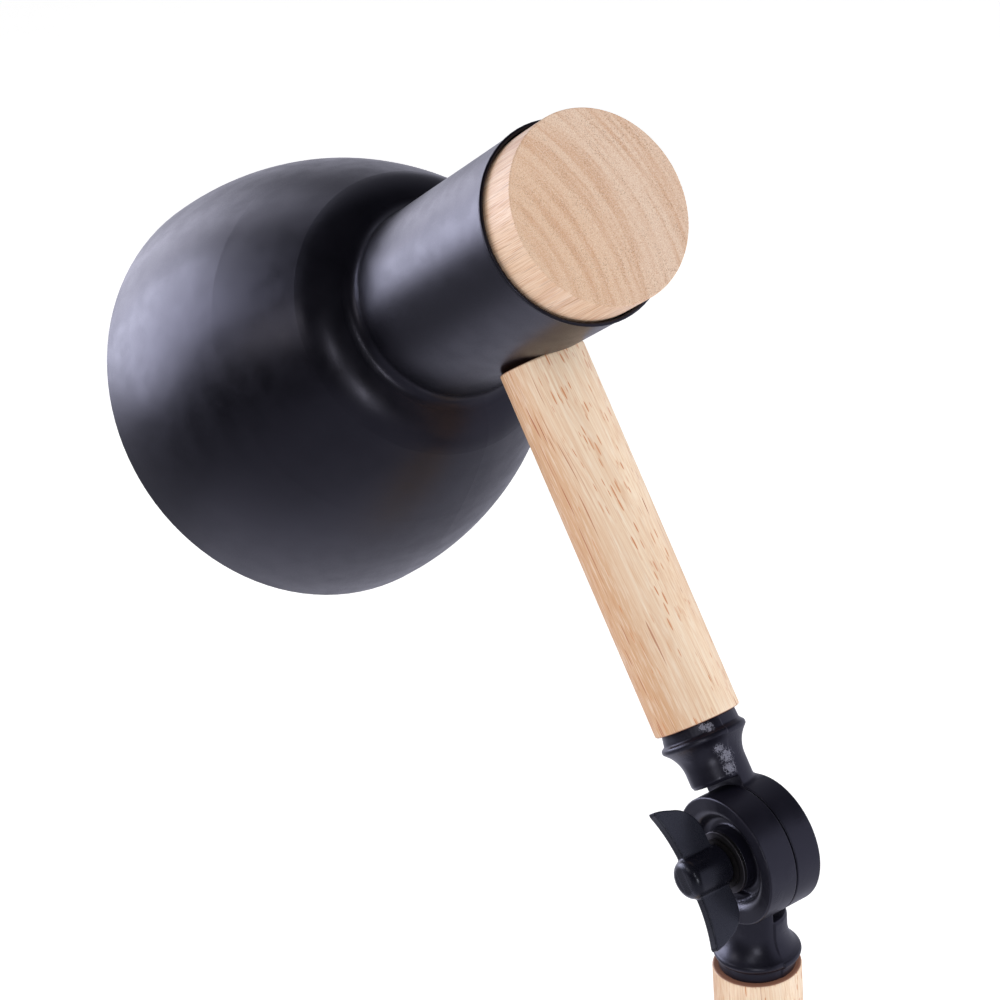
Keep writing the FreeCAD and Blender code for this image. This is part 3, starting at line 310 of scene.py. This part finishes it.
def makeWood(name, place, look):
    # grain runs along the place's Z; growth rings lie around the heart of the trunk, well beside the piece
    material, tree, surface = newMaterial(name, Roughness=look["roughness"])
    point = localPoint(tree, place)
    point = addNode(tree, "ShaderNodeVectorRotate", {"Vector": point, "Rotation": look["lean"]},
                    rotation_type="EULER_XYZ").outputs[0]
    swerve = addNode(tree, "ShaderNodeTexNoise", {
        "Vector": stretched(tree, point, look["waver"]), "Scale": 1, "Detail": 2,
    }).outputs["Color"]
    swerve = addNode(tree, "ShaderNodeVectorMath", {
        0: swerve, 1: (0.5, 0.5, 0.5),
    }, operation="SUBTRACT").outputs[0]
    point = addNode(tree, "ShaderNodeVectorMath", {
        0: swerve, 1: (look["waverSize"], look["waverSize"], 0), 2: point,
    }, operation="MULTIPLY_ADD").outputs[0]
    parts = addNode(tree, "ShaderNodeSeparateXYZ", {0: point})
    aside = sums(tree, parts.outputs[0], look["heart"][0], "SUBTRACT")
    beyond = sums(tree, parts.outputs[1], look["heart"][1], "SUBTRACT")
    heart = addNode(tree, "ShaderNodeCombineXYZ", {"X": aside, "Y": beyond})
    away = addNode(tree, "ShaderNodeVectorMath", {0: heart.outputs[0]}, operation="LENGTH").outputs["Value"]
    towards = sums(tree, aside, -math.copysign(1, look["heart"][0]), "MULTIPLY")
    around = sums(tree, sums(tree, beyond, towards, "ARCTAN2"), math.hypot(*look["heart"]), "MULTIPLY")
    ringPoint = addNode(tree, "ShaderNodeCombineXYZ", {
        "X": away, "Y": around, "Z": parts.outputs[2],
    }).outputs[0]
    # broad growth bands, long thin lines, short open pores crowded along some rings,
    # silky patches painted a paler colour as a painted sheen, and fine fibre
    band = noiseAt(tree, stretched(tree, ringPoint, look["band"]), 1, 3, 0.55)
    bandMask = spread(tree, band, 0.42, 0.70)
    row = noiseAt(tree, stretched(tree, ringPoint, look["row"]), 1, 2, 0.6)
    outward = spread(tree, away, *look["heartwood"])
    shift = sums(tree, sums(tree, outward, 0.5, "SUBTRACT"), look["drift"], "MULTIPLY")
    crowd = sums(tree, row, shift)
    sparse = sums(tree, 1, crowd, "SUBTRACT")
    lineMask = poreField(tree, stretched(tree, ringPoint, look["line"]), sparse, look["lineWidth"])
    poreMask = poreField(tree, stretched(tree, ringPoint, look["pore"]), crowd, look["poreWidth"])
    fibre = noiseAt(tree, stretched(tree, ringPoint, look["fibre"]), 1, 3, 0.6)
    silk = noiseAt(tree, stretched(tree, ringPoint, look["silk"]), 1, 3, 0.6)
    # inner wood to outer wood; on the dowels the darker inner wood falls on their left side as the camera sees
    # them, partly as painted shade
    colour = mixColours(tree, outward, look["inner"], look["outer"])
    colour = mixColours(tree, sums(tree, bandMask, look["bandDepth"], "MULTIPLY"), colour, look["ring"])
    colour = mixColours(tree, spread(tree, fibre, 0.35, 0.75, 0, look["fibreDepth"]), colour, look["ring"])
    # painted sheen: the silky patches are painted a paler colour, standing in for a glint
    colour = mixColours(tree, spread(tree, silk, 0.45, 0.72, 0, look["paintedSheenDepth"]), colour, look["paintedSheen"])
    colour = mixColours(tree, sums(tree, lineMask, look["lineDepth"], "MULTIPLY"), colour, look["streak"])
    colour = mixColours(tree, sums(tree, poreMask, look["poreDepth"], "MULTIPLY"), colour, look["dark"])
    if "ends" in look:
        # end grain drinks more lacquer and is darker; the same darkening is also painted shade on the cut ends
        # where they meet the collars and the shade's neck
        height = addNode(tree, "ShaderNodeSeparateXYZ", {0: localPoint(tree, place)}).outputs[2]
        ends = sums(tree, spread(tree, height, look["ends"][0] + 0.1, look["ends"][0] + 0.35, 1, 0),
                    spread(tree, height, look["ends"][1] - 0.35, look["ends"][1] - 0.1), "MAXIMUM")
        colour = mixColours(tree, ends, colour, look["endGrainAndShade"])
    tree.links.new(colour, surface.inputs["Base Color"])
    rough = spread(tree, silk, 0.3, 0.7, look["roughness"] + 0.06, look["roughness"] - 0.06)
    tree.links.new(rough, surface.inputs["Roughness"])
    ridges = sums(tree, fibre, 0.35, "MULTIPLY")
    height = sums(tree, ridges, sums(tree, poreMask, 0.4, "MULTIPLY"), "SUBTRACT")
    bumpFrom(tree, surface, height, look["relief"], 0.00006)
    return material


woodLook = {
    # inner and outer wood, growth bands, silky patches with a painted sheen, long lines, short pores and cut ends
    # that also carry painted shade
    "inner": srgb(210, 168, 132), "outer": srgb(250, 227, 201), "ring": srgb(208, 152, 104),
    # next: a painted sheen colour for the silky patches, then the colours of lines and pores
    "paintedSheen": srgb(253, 241, 224), "streak": srgb(172, 84, 28), "dark": srgb(206, 122, 58),
    # the cut ends' colour, partly end grain and partly painted shade
    "endGrainAndShade": srgb(150, 104, 84),
    # the trunk's heart, the distances from it where inner wood turns to outer, the grain's slant and waver; the
    # heart lies to the dowels' left as the camera sees them, so their darker inner wood on that side is partly
    # painted shade
    "heart": (52.6, 19.2), "heartwood": (58.6, 70.4), "lean": (0.052, -0.032, 0),
    "waver": (0.06, 0.06, 0.02), "waverSize": 2.6,
    # each pattern's pace across the rings, along them and along the grain, then its widths and depth
    "band": (0.42, 0.05, 0.006), "bandDepth": 0.25, "drift": 0.14,
    "line": (1.45, 1.2, 0.014), "lineWidth": (0.10, 0.28), "lineDepth": 0.9,
    "row": (0.35, 0.10, 0.022),
    "pore": (1.9, 1.2, 0.15), "poreWidth": (0.0, 0.30), "poreDepth": 0.8,
    "fibre": (2.9, 2.9, 0.035), "fibreDepth": 0.5,
    "silk": (1.9, 1.3, 0.12), "paintedSheenDepth": 0.4,
    "roughness": 0.52, "relief": 0.25,
}
capLook = {
    **woodLook,
    "inner": srgb(233, 202, 174), "outer": srgb(237, 214, 194), "ring": srgb(200, 150, 112),
    "dark": srgb(150, 100, 72), "paintedSheen": srgb(243, 226, 212),
    "heart": (14, 64), "heartwood": (50, 80), "lean": (0, 0, 0), "waverSize": 2.2,
    "band": (0.42, 0.02, 0.004), "bandDepth": 0.6, "drift": 0,
    "line": (3.2, 2.6, 0.05), "lineWidth": (0.22, 0.38), "lineDepth": 0.35,
    "pore": (2.9, 2.4, 0.05), "poreWidth": (0.24, 0.42), "poreDepth": 0.5,
    "fibre": (5.0, 5.0, 0.04), "fibreDepth": 0.8,
    "silk": (3.0, 2.4, 0.04), "paintedSheenDepth": 0.5,
}
baseLook = {
    **woodLook, "inner": srgb(226, 196, 162), "heart": (150, 12), "heartwood": (150, 175),
    "band": (0.25, 0.012, 0.004), "lean": (0, 0, 0),
}
capWood = makeWood("capWood", headFrame, capLook)
baseWood = makeWood("baseWood", stand(Vector((0, 0, 0)), ("Y", 90)), baseLook)
# the lower dowel's heart also lies to its left, so its darker side is partly painted shade
lowerWood = makeWood("lowerArmWood", lowerFrame, {
    **woodLook, "heart": (48, 24), "heartwood": (52, 66), "ends": (37.5, 217.5),
})
upperWood = makeWood("upperArmWood", upperFrame, {**woodLook, "ends": (37.5, 145.95)})


# Paint, plastic and metal.

def makeCoat(name, colour, rough, grain, relief, place=baseFrame, patch=0.0, paintedGlint=None, paintedFaceLight=None, **values):
    # an even coat whose roughness and height waver a little; patch adds rougher spots left by the mould;
    # a list of places gets bright squiggles painted into its colour as a painted glint, and a face setting
    # paints a lighter colour, as painted light, on the flat faces a little to each side of the place's XZ plane
    material, tree, surface = newMaterial(name, **values)
    point = localPoint(tree, place)
    fine = noiseAt(tree, point, grain, 3, 0.6)
    broad = noiseAt(tree, point, grain * 0.06, 2)
    darker, lighter = ([c * share for c in colour] for share in (0.88, 1.12))
    tone = mixColours(tree, spread(tree, broad, 0.3, 0.7), darker, lighter)
    height = fine
    # painted glint: bright grey-blue squiggles are painted into the colour at the listed places, with a bump to
    # match
    if paintedGlint:
        within = 0.0
        for centre, size in paintedGlint["places"]:
            away = addNode(tree, "ShaderNodeVectorMath", {0: point, 1: centre}, operation="DISTANCE")
            within = sums(tree, within, spread(tree, away.outputs["Value"], 0, size, 1, 0), "MAXIMUM")
        squiggle = noiseAt(tree, stretched(tree, point, paintedGlint["squiggle"]), 1, 3, 0.65, 1.5)
        squiggle = spread(tree, sums(tree, squiggle, sums(tree, within, 0.22, "MULTIPLY")), 0.59, 0.66)
        squiggle = sums(tree, squiggle, spread(tree, within, 0, 0.3), "MULTIPLY")
        tone = mixColours(tree, squiggle, tone, paintedGlint["colour"])
        height = sums(tree, fine, sums(tree, squiggle, 2.5, "MULTIPLY"))
    # painted light: the flat faces are painted a lighter colour than the rest of the coat
    if paintedFaceLight:
        beside = sums(tree, addNode(tree, "ShaderNodeSeparateXYZ", {0: point}).outputs[1], 0, "ABSOLUTE")
        start = spread(tree, beside, *paintedFaceLight["from"])
        flat = sums(tree, start, spread(tree, beside, *paintedFaceLight["to"], 1, 0), "MULTIPLY")
        tone = mixColours(tree, flat, tone, paintedFaceLight["colour"])
    tree.links.new(tone, surface.inputs["Base Color"])
    sheen = spread(tree, sums(tree, fine, broad), 0.7, 1.3, rough - 0.04, rough + 0.05)
    tree.links.new(sheen, surface.inputs["Roughness"])
    if patch:
        coarse = noiseAt(tree, point, 1.1, 3, 0.7)
        spots = spread(tree, noiseAt(tree, point, 0.11, 1), 0.56, 0.68)
        height = sums(tree, fine, sums(tree, sums(tree, coarse, spots, "MULTIPLY"), patch, "MULTIPLY"))
    bumpFrom(tree, surface, height, relief, 0.00005)
    return material


castLook = {
    "colour": (0.0062, 0.0058, 0.0112), "rough": 0.34, "grain": 2.2, "relief": 0.25, "patch": 9.0,
    "Specular_Tint": (0.82, 0.82, 1.0, 1), "Specular_IOR_Level": 0.6,
}
# places on the upper collar where bright squiggles are painted on as a painted glint
paintedGlintSpots = {
    "colour": (0.20, 0.20, 0.25), "squiggle": (2.1, 2.1, 1.3),
    "places": [
        ((-9.2, 1.6, 26.2), 3.6), ((-8.7, 2.0, 23.2), 3.0), ((-9.4, 3.4, 29.0), 2.4),
        ((-10.3, 4.2, 35.6), 2.2), ((-9.4, 5.6, 36.2), 1.8),
    ],
}
shadePaint = makeCoat("shadePaint", (0.0026, 0.0024, 0.0046), 0.33, 2.4, 0.10, headFrame,
                      Specular_Tint=(0.82, 0.80, 1.0, 1))
castPaint = makeCoat("castPaint", **castLook)
glintPaint = makeCoat("glintPaint", place=upperFrame, paintedGlint=paintedGlintSpots, **castLook)
blackPlastic = makeCoat("blackPlastic", (0.012, 0.012, 0.013), 0.45, 3.0, 0.3)
coverPaint = makeCoat("coverPaint", (0.02, 0.02, 0.02), 0.5, 2.0, 0.3)
zincSteel = makeCoat("zincSteel", (0.60, 0.61, 0.63), 0.30, 3.0, 0.25, Metallic=1.0)
washerSteel = makeCoat("washerSteel", (0.10, 0.095, 0.105), 0.5, 3.0, 0.25, Metallic=1.0)
insertSteel = makeCoat("insertSteel", (0.07, 0.065, 0.066), 0.5, 3.0, 0.4, Metallic=1.0)
brassMetal = makeCoat("brassMetal", (0.80, 0.60, 0.28), 0.28, 3.0, 0.2, Metallic=1.0)
castIron = makeCoat("castIron", (0.10, 0.10, 0.105), 0.62, 1.2, 0.9, Metallic=0.6)
footRubber = makeCoat("footRubber", (0.03, 0.03, 0.03), 0.8, 1.6, 0.8)
porcelain = makeCoat("porcelain", (0.86, 0.85, 0.81), 0.16, 0.6, 0.15)
fibreDisc = makeCoat("fibreDisc", (0.20, 0.13, 0.08), 0.75, 3.0, 0.6)
insulation = makeCoat("insulation", (0.05, 0.05, 0.05), 0.45, 1.5, 0.2)
bulbWhite = makeCoat("bulbWhite", (0.88, 0.88, 0.87), 0.32, 1.0, 0.1)
bulbGlass = makeCoat("bulbGlass", (0.93, 0.925, 0.90), 0.30, 1.0, 0.1, Transmission_Weight=0.08, IOR=1.45)

nodeFinish = {
    "lower_dowel": lowerWood, "upper_dowel": upperWood, "wood_cap": capWood, "base_disc": baseWood,
    "shade": shadePaint, "base_cover": coverPaint, "foot_pad": footRubber, "base_weight": castIron,
    "bulb_collar": bulbWhite, "bulb_globe": bulbGlass,
    "base_washer": washerSteel, "elbow_washer": washerSteel,
    "base_knob_insert": insertSteel, "elbow_knob_insert": insertSteel,
}
slotFinish = {
    "casting_black": castPaint, "knob_black": blackPlastic, "black_plastic": blackPlastic,
    "zinc_steel": zincSteel, "brass": brassMetal, "porcelain": porcelain,
    "friction_fibre": fibreDisc, "lead_insulation": insulation,
}
slotOf = {part["node"]: part["material_slot"] for part in frame["record"]["subparts"]}
for nodeName, node in frame["nodes"].items():
    finish = nodeFinish.get(nodeName) or slotFinish[slotOf[nodeName]]
    node.data.materials.clear()
    node.data.materials.append(finish)
print("finishes done")


# Knuckle castings.

# outlines are radius and height, or across and height for the wings; a third number is an arc's radius
casting = {
    "front": {"face": 10.2, "lap": 0.65},
    "back": {"face": 8.2, "lap": -0.35},
    "low": (-19, -12.6, -19), "high": (19, 12.6, 37.6), "step": 0.3,
    "drum": {"radius": 18.7, "lapEdge": 0.25, "faceEdge": 0.45},
    "seat": {"radius": 8.0, "depth": 0.5},
    "groove": {"from": 9.5, "to": 13.2, "depth": 4},
    "waist": 20.4, "boltHole": 3.06, "boltReach": 15, "bore": {"radius": 4.95, "foot": 25.0},
    "lead": {"radius": 2.05, "aside": 3.25, "foot": 10.6, "top": 26},
    "pocket": {"flat": 5.15, "depth": 6.0},
    "fillet": {"lap": 0.05, "waist": 1.1, "split": 0.3, "seam": 0.12},
    "freeSide": [
        (-6, 20.4), (7.55, 20.4, 1.3), (8.85, 21.7), (8.85, 24.85, -10.0), (11.8, 32.0, 1.15), (11.8, 34.15),
        (11.35, 34.45), (10.8, 37.5), (-6, 37.5),
    ],
    "drumSide": [
        (-6, 10), (8.45, 10), (8.45, 24.5, -9.75), (11.65, 31.75, 1.3), (11.55, 33.75), (10.9, 34.5),
        (10.75, 37.5), (-6, 37.5),
    ],
    "rim": {
        "back": [(15.9, 8.2, 1.9), (14.3, 7.2), (12.6, 6.2, -1.9), (10.9, 5.2), (3.06, 5.2)],
        "front": [
            (15.5, 10.2, 3.0), (12.6, 7.98), (12.4, 7.6, -2.4), (10.6, 6.1), (10.0, 6.1, -1.0), (9.0, 7.1),
            (9.0, 9.85, 0.15), (8.85, 10.0), (3.06, 10.0),
        ],
    },
}


def drumOutline(side):
    # the friction disc's seat, the lead's groove, the lap, the round edge and the rim's face
    face, lap = casting[side]["face"], casting[side]["lap"]
    drum, seat, groove = (casting[key] for key in ("drum", "seat", "groove"))
    radius, lapEdge, faceEdge = drum["radius"], drum["lapEdge"], drum["faceEdge"]
    return [
        (casting["boltHole"], lap + seat["depth"]),
        (seat["radius"], lap + seat["depth"]), (seat["radius"], lap),
        (groove["from"], lap), (groove["from"], lap + groove["depth"]),
        (groove["to"], lap + groove["depth"]), (groove["to"], lap),
        (radius - lapEdge, lap, lapEdge), (radius, lap + lapEdge),
        (radius, face - faceEdge, faceEdge), (radius - faceEdge, face), *casting["rim"][side],
    ]


def castingField(side):
    face, lap = casting[side]["face"], casting[side]["lap"]
    waist, bore, lead = (casting[key] for key in ("waist", "bore", "lead"))
    pocket, fillet = casting["pocket"], casting["fillet"]
    freeSide = tableField(casting["freeSide"])
    drumSide = tableField(casting["drumSide"])
    drum = tableField(drumOutline(side))

    def field(x, y, z):
        # from the arm's axis, and from the hinge's
        radial = np.hypot(x, y)
        about = np.hypot(x, z)
        half = np.maximum(drumSide(radial, z), np.minimum(lap - y, waist - z))
        body = softMin(softMax(drum(about, y), lap - y, fillet["lap"]), half, fillet["waist"])
        body = softMin(body, softMax(freeSide(radial, z), y - lap, fillet["split"]), fillet["seam"])
        hole = np.maximum(radial - bore["radius"], bore["foot"] - z)
        channel = np.maximum(np.hypot(x, y - lead["aside"]) - lead["radius"],
                             np.maximum(lead["foot"] - z, z - lead["top"]))
        body = np.maximum(body, -np.minimum(hole, channel))
        body = np.maximum(body, -np.maximum(about - casting["boltHole"], np.abs(y) - casting["boltReach"]))
        if side == "back":
            body = np.maximum(body, -np.maximum(hexagon(x, z) - pocket["flat"], (face - pocket["depth"]) - y))
        return body

    return skin(field, casting["low"], casting["high"], casting["step"])


castings = [
    # name, side, place, turns, body, node
    ("baseCasting", "front", baseKnuckle, [("Y", 180)], "base", "base_casting"),
    ("elbowCasting", "front", elbow, [("Y", lowerLean + 180)], "lower_arm", "elbow_casting"),
    ("lowerFootCasting", "back", baseKnuckle, [("Y", lowerLean), ("Z", 180)], "lower_arm", "lower_arm_foot"),
    ("upperFootCasting", "back", elbow, [("Y", upperLean), ("Z", 180)], "upper_arm", "upper_arm_foot"),
]
skins = {side: castingField(side) for side in ("front", "back")}
for name, side, place, turns, body, node in castings:
    # the upper arm's foot carries the painted glint
    paint = glintPaint if node == "upper_arm_foot" else castPaint
    addPiece(name, *skins[side], stand(place, *turns), body, "casting_black", paint, [node])
print("castings done", len(skins["front"][1]), "faces")


# Wing knobs.

knob = {
    "foot": 11.9, "turn": 3.0, "step": 0.25, "thick": 1.6, "edge": 0.4, "fillet": 0.7,
    "colour": (0.0045, 0.0046, 0.0085),
    # the wing faces are painted this lighter colour as painted light
    "paintedFaceLight": {"from": (1.3, 1.56), "to": (1.66, 2.1), "colour": (0.018, 0.019, 0.028)},
    "wings": [
        (-20.4, 13.1, 20.0), (-19.0, 7.9, 9.0), (-10.8, 0.9), (10.8, 0.9, 9.0), (19.0, 7.9, 20.0),
        (20.4, 13.1), (19.5, 13.2, -46.0), (4.9, 10.7), (-4.9, 10.7, -46.0), (-19.5, 13.2),
    ],
    "hub": [(-6, 0), (5.6, 0, 0.3), (5.9, 0.3), (5.75, 10.3, 2.6), (3.15, 12.9), (-6, 12.9)],
    "bore": {"radius": 4.4, "depth": 7.0}, "low": (-20.6, -6, -0.1), "high": (20.6, 6, 13.4),
}


def knobField():
    # a table reaches little beyond its axis, so the wings are moved clear of it
    shift = 30
    wings = tableField([(x + shift, z, *rest) for x, z, *rest in knob["wings"]])
    hub = tableField(knob["hub"])
    edge, bore = knob["edge"], knob["bore"]

    def field(x, y, z):
        flat = wings(x + shift, z) + edge
        thick = np.abs(y) - knob["thick"] + edge
        beyond = np.hypot(np.maximum(flat, 0), np.maximum(thick, 0))
        wing = beyond + np.minimum(np.maximum(flat, thick), 0) - edge
        body = softMin(hub(np.hypot(x, y), z), wing, knob["fillet"])
        return np.maximum(body, -np.maximum(np.hypot(x, y) - bore["radius"], z - bore["depth"]))

    return skin(field, knob["low"], knob["high"], knob["step"])


knobSkin = knobField()
for name, place, lean, body, node in (
    ("baseWingKnob", baseKnuckle, lowerLean, "base_wing_knob", "base_wing_knob"),
    ("elbowWingKnob", elbow, upperLean, "elbow_wing_knob", "elbow_wing_knob"),
):
    turned = stand(place, ("Y", lean + knob["turn"] - 90), ("X", -90))
    turned = turned @ Matrix.Translation((0, 0, knob["foot"] * mm))
    plastic = makeCoat(name + "Plastic", knob["colour"], 0.27, 3.5, 0.1, turned, paintedFaceLight=knob["paintedFaceLight"],
                       Specular_Tint=(0.84, 0.87, 1.0, 1))
    addPiece(name, *knobSkin, turned, body, "knob_black", plastic, [node])
print("wing knobs done", len(knobSkin[1]), "faces")


# Clamp bolts.

bolt = {
    "flat": 5.0, "headHeight": 4.0, "corner": 5.05, "bevel": 1.75,
    "shank": 3.0, "end": 19.8, "point": 22.3, "seat": -2.3,
    "low": (-6, -6, -4.1), "high": (6, 6, 19.9), "step": 0.22,
}


def boltField(x, y, z):
    # the factors at the ends of two lines keep the field's slope near one
    radial = np.hypot(x, y)
    half = bolt["headHeight"] / 2
    head = np.maximum(hexagon(x, y) - bolt["flat"], np.abs(z + half) - half)
    head = np.maximum(head, (radial - bolt["corner"] - (z + bolt["headHeight"]) * bolt["bevel"]) * 0.5)
    shank = np.maximum(radial - bolt["shank"], np.maximum(-1 - z, z - bolt["end"]))
    shank = np.maximum(shank, (radial + z - bolt["point"]) * 0.7)
    return np.minimum(head, shank)


boltSkin = skin(boltField, bolt["low"], bolt["high"], bolt["step"])
for name, place, lean, body, node in (
    ("baseClampBolt", baseKnuckle, lowerLean, "lower_arm", "base_bolt"),
    ("elbowClampBolt", elbow, upperLean, "upper_arm", "elbow_bolt"),
):
    turned = stand(place, ("Y", lean), ("X", -90)) @ Matrix.Translation((0, 0, bolt["seat"] * mm))
    addPiece(name, *boltSkin, turned, body, "zinc_steel", zincSteel, [node])
print("bolts done", len(boltSkin[1]), "faces")


# Floor, light and camera.

shot = {
    "azimuth": 231.77, "elevation": 31.19, "roll": -0.19, "distance": 843.2, "focal": 3080.0,
    "elbowAt": (751.98, 847.26), "frame": 1000.0, "sensor": 36.0,
}


def cameraAxes():
    azimuth, elevation = math.radians(shot["azimuth"]), math.radians(shot["elevation"])
    level = math.cos(elevation)
    back = Vector((math.sin(azimuth) * level, -math.cos(azimuth) * level, math.sin(elevation)))
    right = (-back).cross(Vector((0, 0, 1))).normalized()
    up = right.cross(-back)
    roll = math.radians(shot["roll"])
    return right * math.cos(roll) + up * math.sin(roll), up * math.cos(roll) - right * math.sin(roll), back


right, up, back = cameraAxes()
perPixel = shot["distance"] / shot["focal"]
aside = (shot["elbowAt"][0] - shot["frame"] / 2) * perPixel
above = -(shot["elbowAt"][1] - shot["frame"] / 2) * perPixel
eye = elbow - (right * aside + up * above - back * shot["distance"]) * mm

cameraData = bpy.data.cameras.new("camera")
cameraData.sensor_width = shot["sensor"]
cameraData.lens = shot["sensor"] * shot["focal"] / shot["frame"]
cameraData.clip_start = 0.01
camera = bpy.data.objects.new("camera", cameraData)
bpy.context.scene.collection.objects.link(camera)
camera.matrix_world = Matrix((right, up, back)).transposed().to_4x4()
camera.location = eye
bpy.context.scene.camera = camera
bpy.context.scene.view_settings.view_transform = "Standard"

lampMiddle = Vector((0.11, 0, 0.38))


def softbox(name, around, above, distance, size, power, colour=(1, 1, 1), mirrored=True, spreads=True):
    # a soft panel that looks at the lamp's middle, some degrees left around from the camera and above it;
    # it can be left out of mirror images, or out of the even light
    panel = bpy.data.lights.new(name, "AREA")
    panel.shape = "RECTANGLE"
    panel.size, panel.size_y = size
    panel.energy = power
    panel.color = colour
    light = bpy.data.objects.new(name, panel)
    bpy.context.scene.collection.objects.link(light)
    turn, lift = math.radians(around), math.radians(above)
    direction = (back * math.cos(turn) - right * math.sin(turn)) * math.cos(lift) + up * math.sin(lift)
    light.location = lampMiddle + direction * distance
    light.rotation_euler = direction.to_track_quat("Z", "Y").to_euler()
    light.visible_camera = False
    light.visible_glossy = mirrored
    light.visible_diffuse = spreads


studio = {
    "softboxes": [
        # name, degrees left of the camera and above it, distance, size, watts, and what else is its own
        ("leftPanel", 108, 15, 1.0, (0.62, 0.58), 6.0, {"colour": (0.80, 0.82, 1.0), "spreads": False}),
        ("leftSoft", 100, 15, 1.0, (0.62, 0.54), 2.8, {"mirrored": False}),
        ("leftEdge", 67, 8, 1.0, (0.30, 0.30), 0.6, {"colour": (1.0, 0.96, 0.96)}),
        ("smallFront", 0, -23, 1.0, (0.15, 0.20), 1.0, {"spreads": False}),
        ("edgeLight", 16, 1, 1.0, (0.08, 0.20), 0.5, {"spreads": False}),
        ("frontFill", -6, 8, 1.4, (1.0, 1.0), 6.4, {"mirrored": False}),
        ("rightKey", -95, 20, 1.2, (0.6, 1.0), 4.6, {"mirrored": False}),
    ],
    # how bright each part of the room looks in mirror images
    "camera": 0.035, "lowLeft": 0.36, "glow": 2.3, "window": 0.7, "table": 0.4, "tint": (0.84, 0.84, 1, 1),
    "ambient": 0.5, "paper": ((0.93, 0.93, 0.93), (0.96, 0.96, 0.96)), "paperGlow": 0.45, "floorReach": 6.0,
}
for name, *setting, own in studio["softboxes"]:
    softbox(name, *setting, **own)

world = bpy.data.worlds.new("studio")
bpy.context.scene.world = world
world.use_nodes = True
tree = world.node_tree
tree.nodes.clear()
rays = addNode(tree, "ShaderNodeLightPath")
seen = addNode(tree, "ShaderNodeBackground", {"Color": (1, 1, 1, 1), "Strength": 1.0})
where = addNode(tree, "ShaderNodeTexCoord")
facing, beside, overhead = (addNode(tree, "ShaderNodeVectorMath", {
    0: where.outputs["Generated"], 1: axis,
}, operation="DOT_PRODUCT").outputs["Value"] for axis in (back, right, up))


def product(*factors):
    result = factors[0]
    for factor in factors[1:]:
        result = sums(tree, result, factor, "MULTIPLY")
    return result


# mirror images see a pale studio behind the lamp, a glow high on the left, a dim place low on the left,
# a window on the right and a little of the table in front
backdrop = product(spread(tree, facing, -0.35, 0.25, 1.0, studio["camera"]),
                   spread(tree, beside, -0.2, 0.5, 1.0, 0.6), spread(tree, overhead, 0.4, 0.75, 1.0, 0.3))
lowLeft = product(spread(tree, overhead, -0.2, -0.1, 1, 0), spread(tree, overhead, -0.75, -0.6),
                  spread(tree, beside, -0.6, -0.3, 1, 0), spread(tree, facing, -0.8, -0.6))
backdrop = product(backdrop, spread(tree, lowLeft, 0, 1, 1.0, studio["lowLeft"], smooth=False))
glow = product(spread(tree, beside, -0.55, -0.25, studio["glow"], 0), spread(tree, overhead, 0.05, 0.35),
               spread(tree, facing, -0.6, -0.3, 1, 0))
window = product(spread(tree, beside, 0.5, 0.8, 0.0, studio["window"]),
                 spread(tree, overhead, 0.45, 0.7, 1, 0))
table = spread(tree, overhead, -0.75, -0.35, studio["table"], 0)
level = sums(tree, sums(tree, sums(tree, backdrop, glow), window, "MAXIMUM"), table, "MAXIMUM")
mirrored = addNode(tree, "ShaderNodeBackground", {"Color": studio["tint"], "Strength": level})
ambient = addNode(tree, "ShaderNodeBackground", {"Color": (1, 1, 1, 1), "Strength": studio["ambient"]})
lit = addNode(tree, "ShaderNodeMixShader", {
    0: rays.outputs["Is Glossy Ray"], 1: ambient.outputs[0], 2: mirrored.outputs[0],
})
mixed = addNode(tree, "ShaderNodeMixShader", {
    0: rays.outputs["Is Camera Ray"], 1: lit.outputs[0], 2: seen.outputs[0],
})
addNode(tree, "ShaderNodeOutputWorld", {"Surface": mixed.outputs[0]})

floorMaterial, tree, surface = newMaterial("floorPaper", Roughness=0.9)
paper = noiseAt(tree, localPoint(tree, baseFrame), 0.02, 2)
tree.links.new(mixColours(tree, paper, *studio["paper"]), surface.inputs["Base Color"])
surface.inputs["Emission Color"].default_value = (1, 1, 1, 1)
surface.inputs["Emission Strength"].default_value = studio["paperGlow"]
reach = studio["floorReach"]
corners = [(x * reach, y * reach, 0) for x, y in ((-1, -1), (1, -1), (1, 1), (-1, 1))]
floorMesh = bpy.data.meshes.new("floor")
floorMesh.from_pydata(corners, [], [(0, 1, 2, 3)])
floor = bpy.data.objects.new("floor", floorMesh)
floor.data.materials.append(floorMaterial)
bpy.context.scene.collection.objects.link(floor)
floor.visible_glossy = False
print("floor, light and camera done")
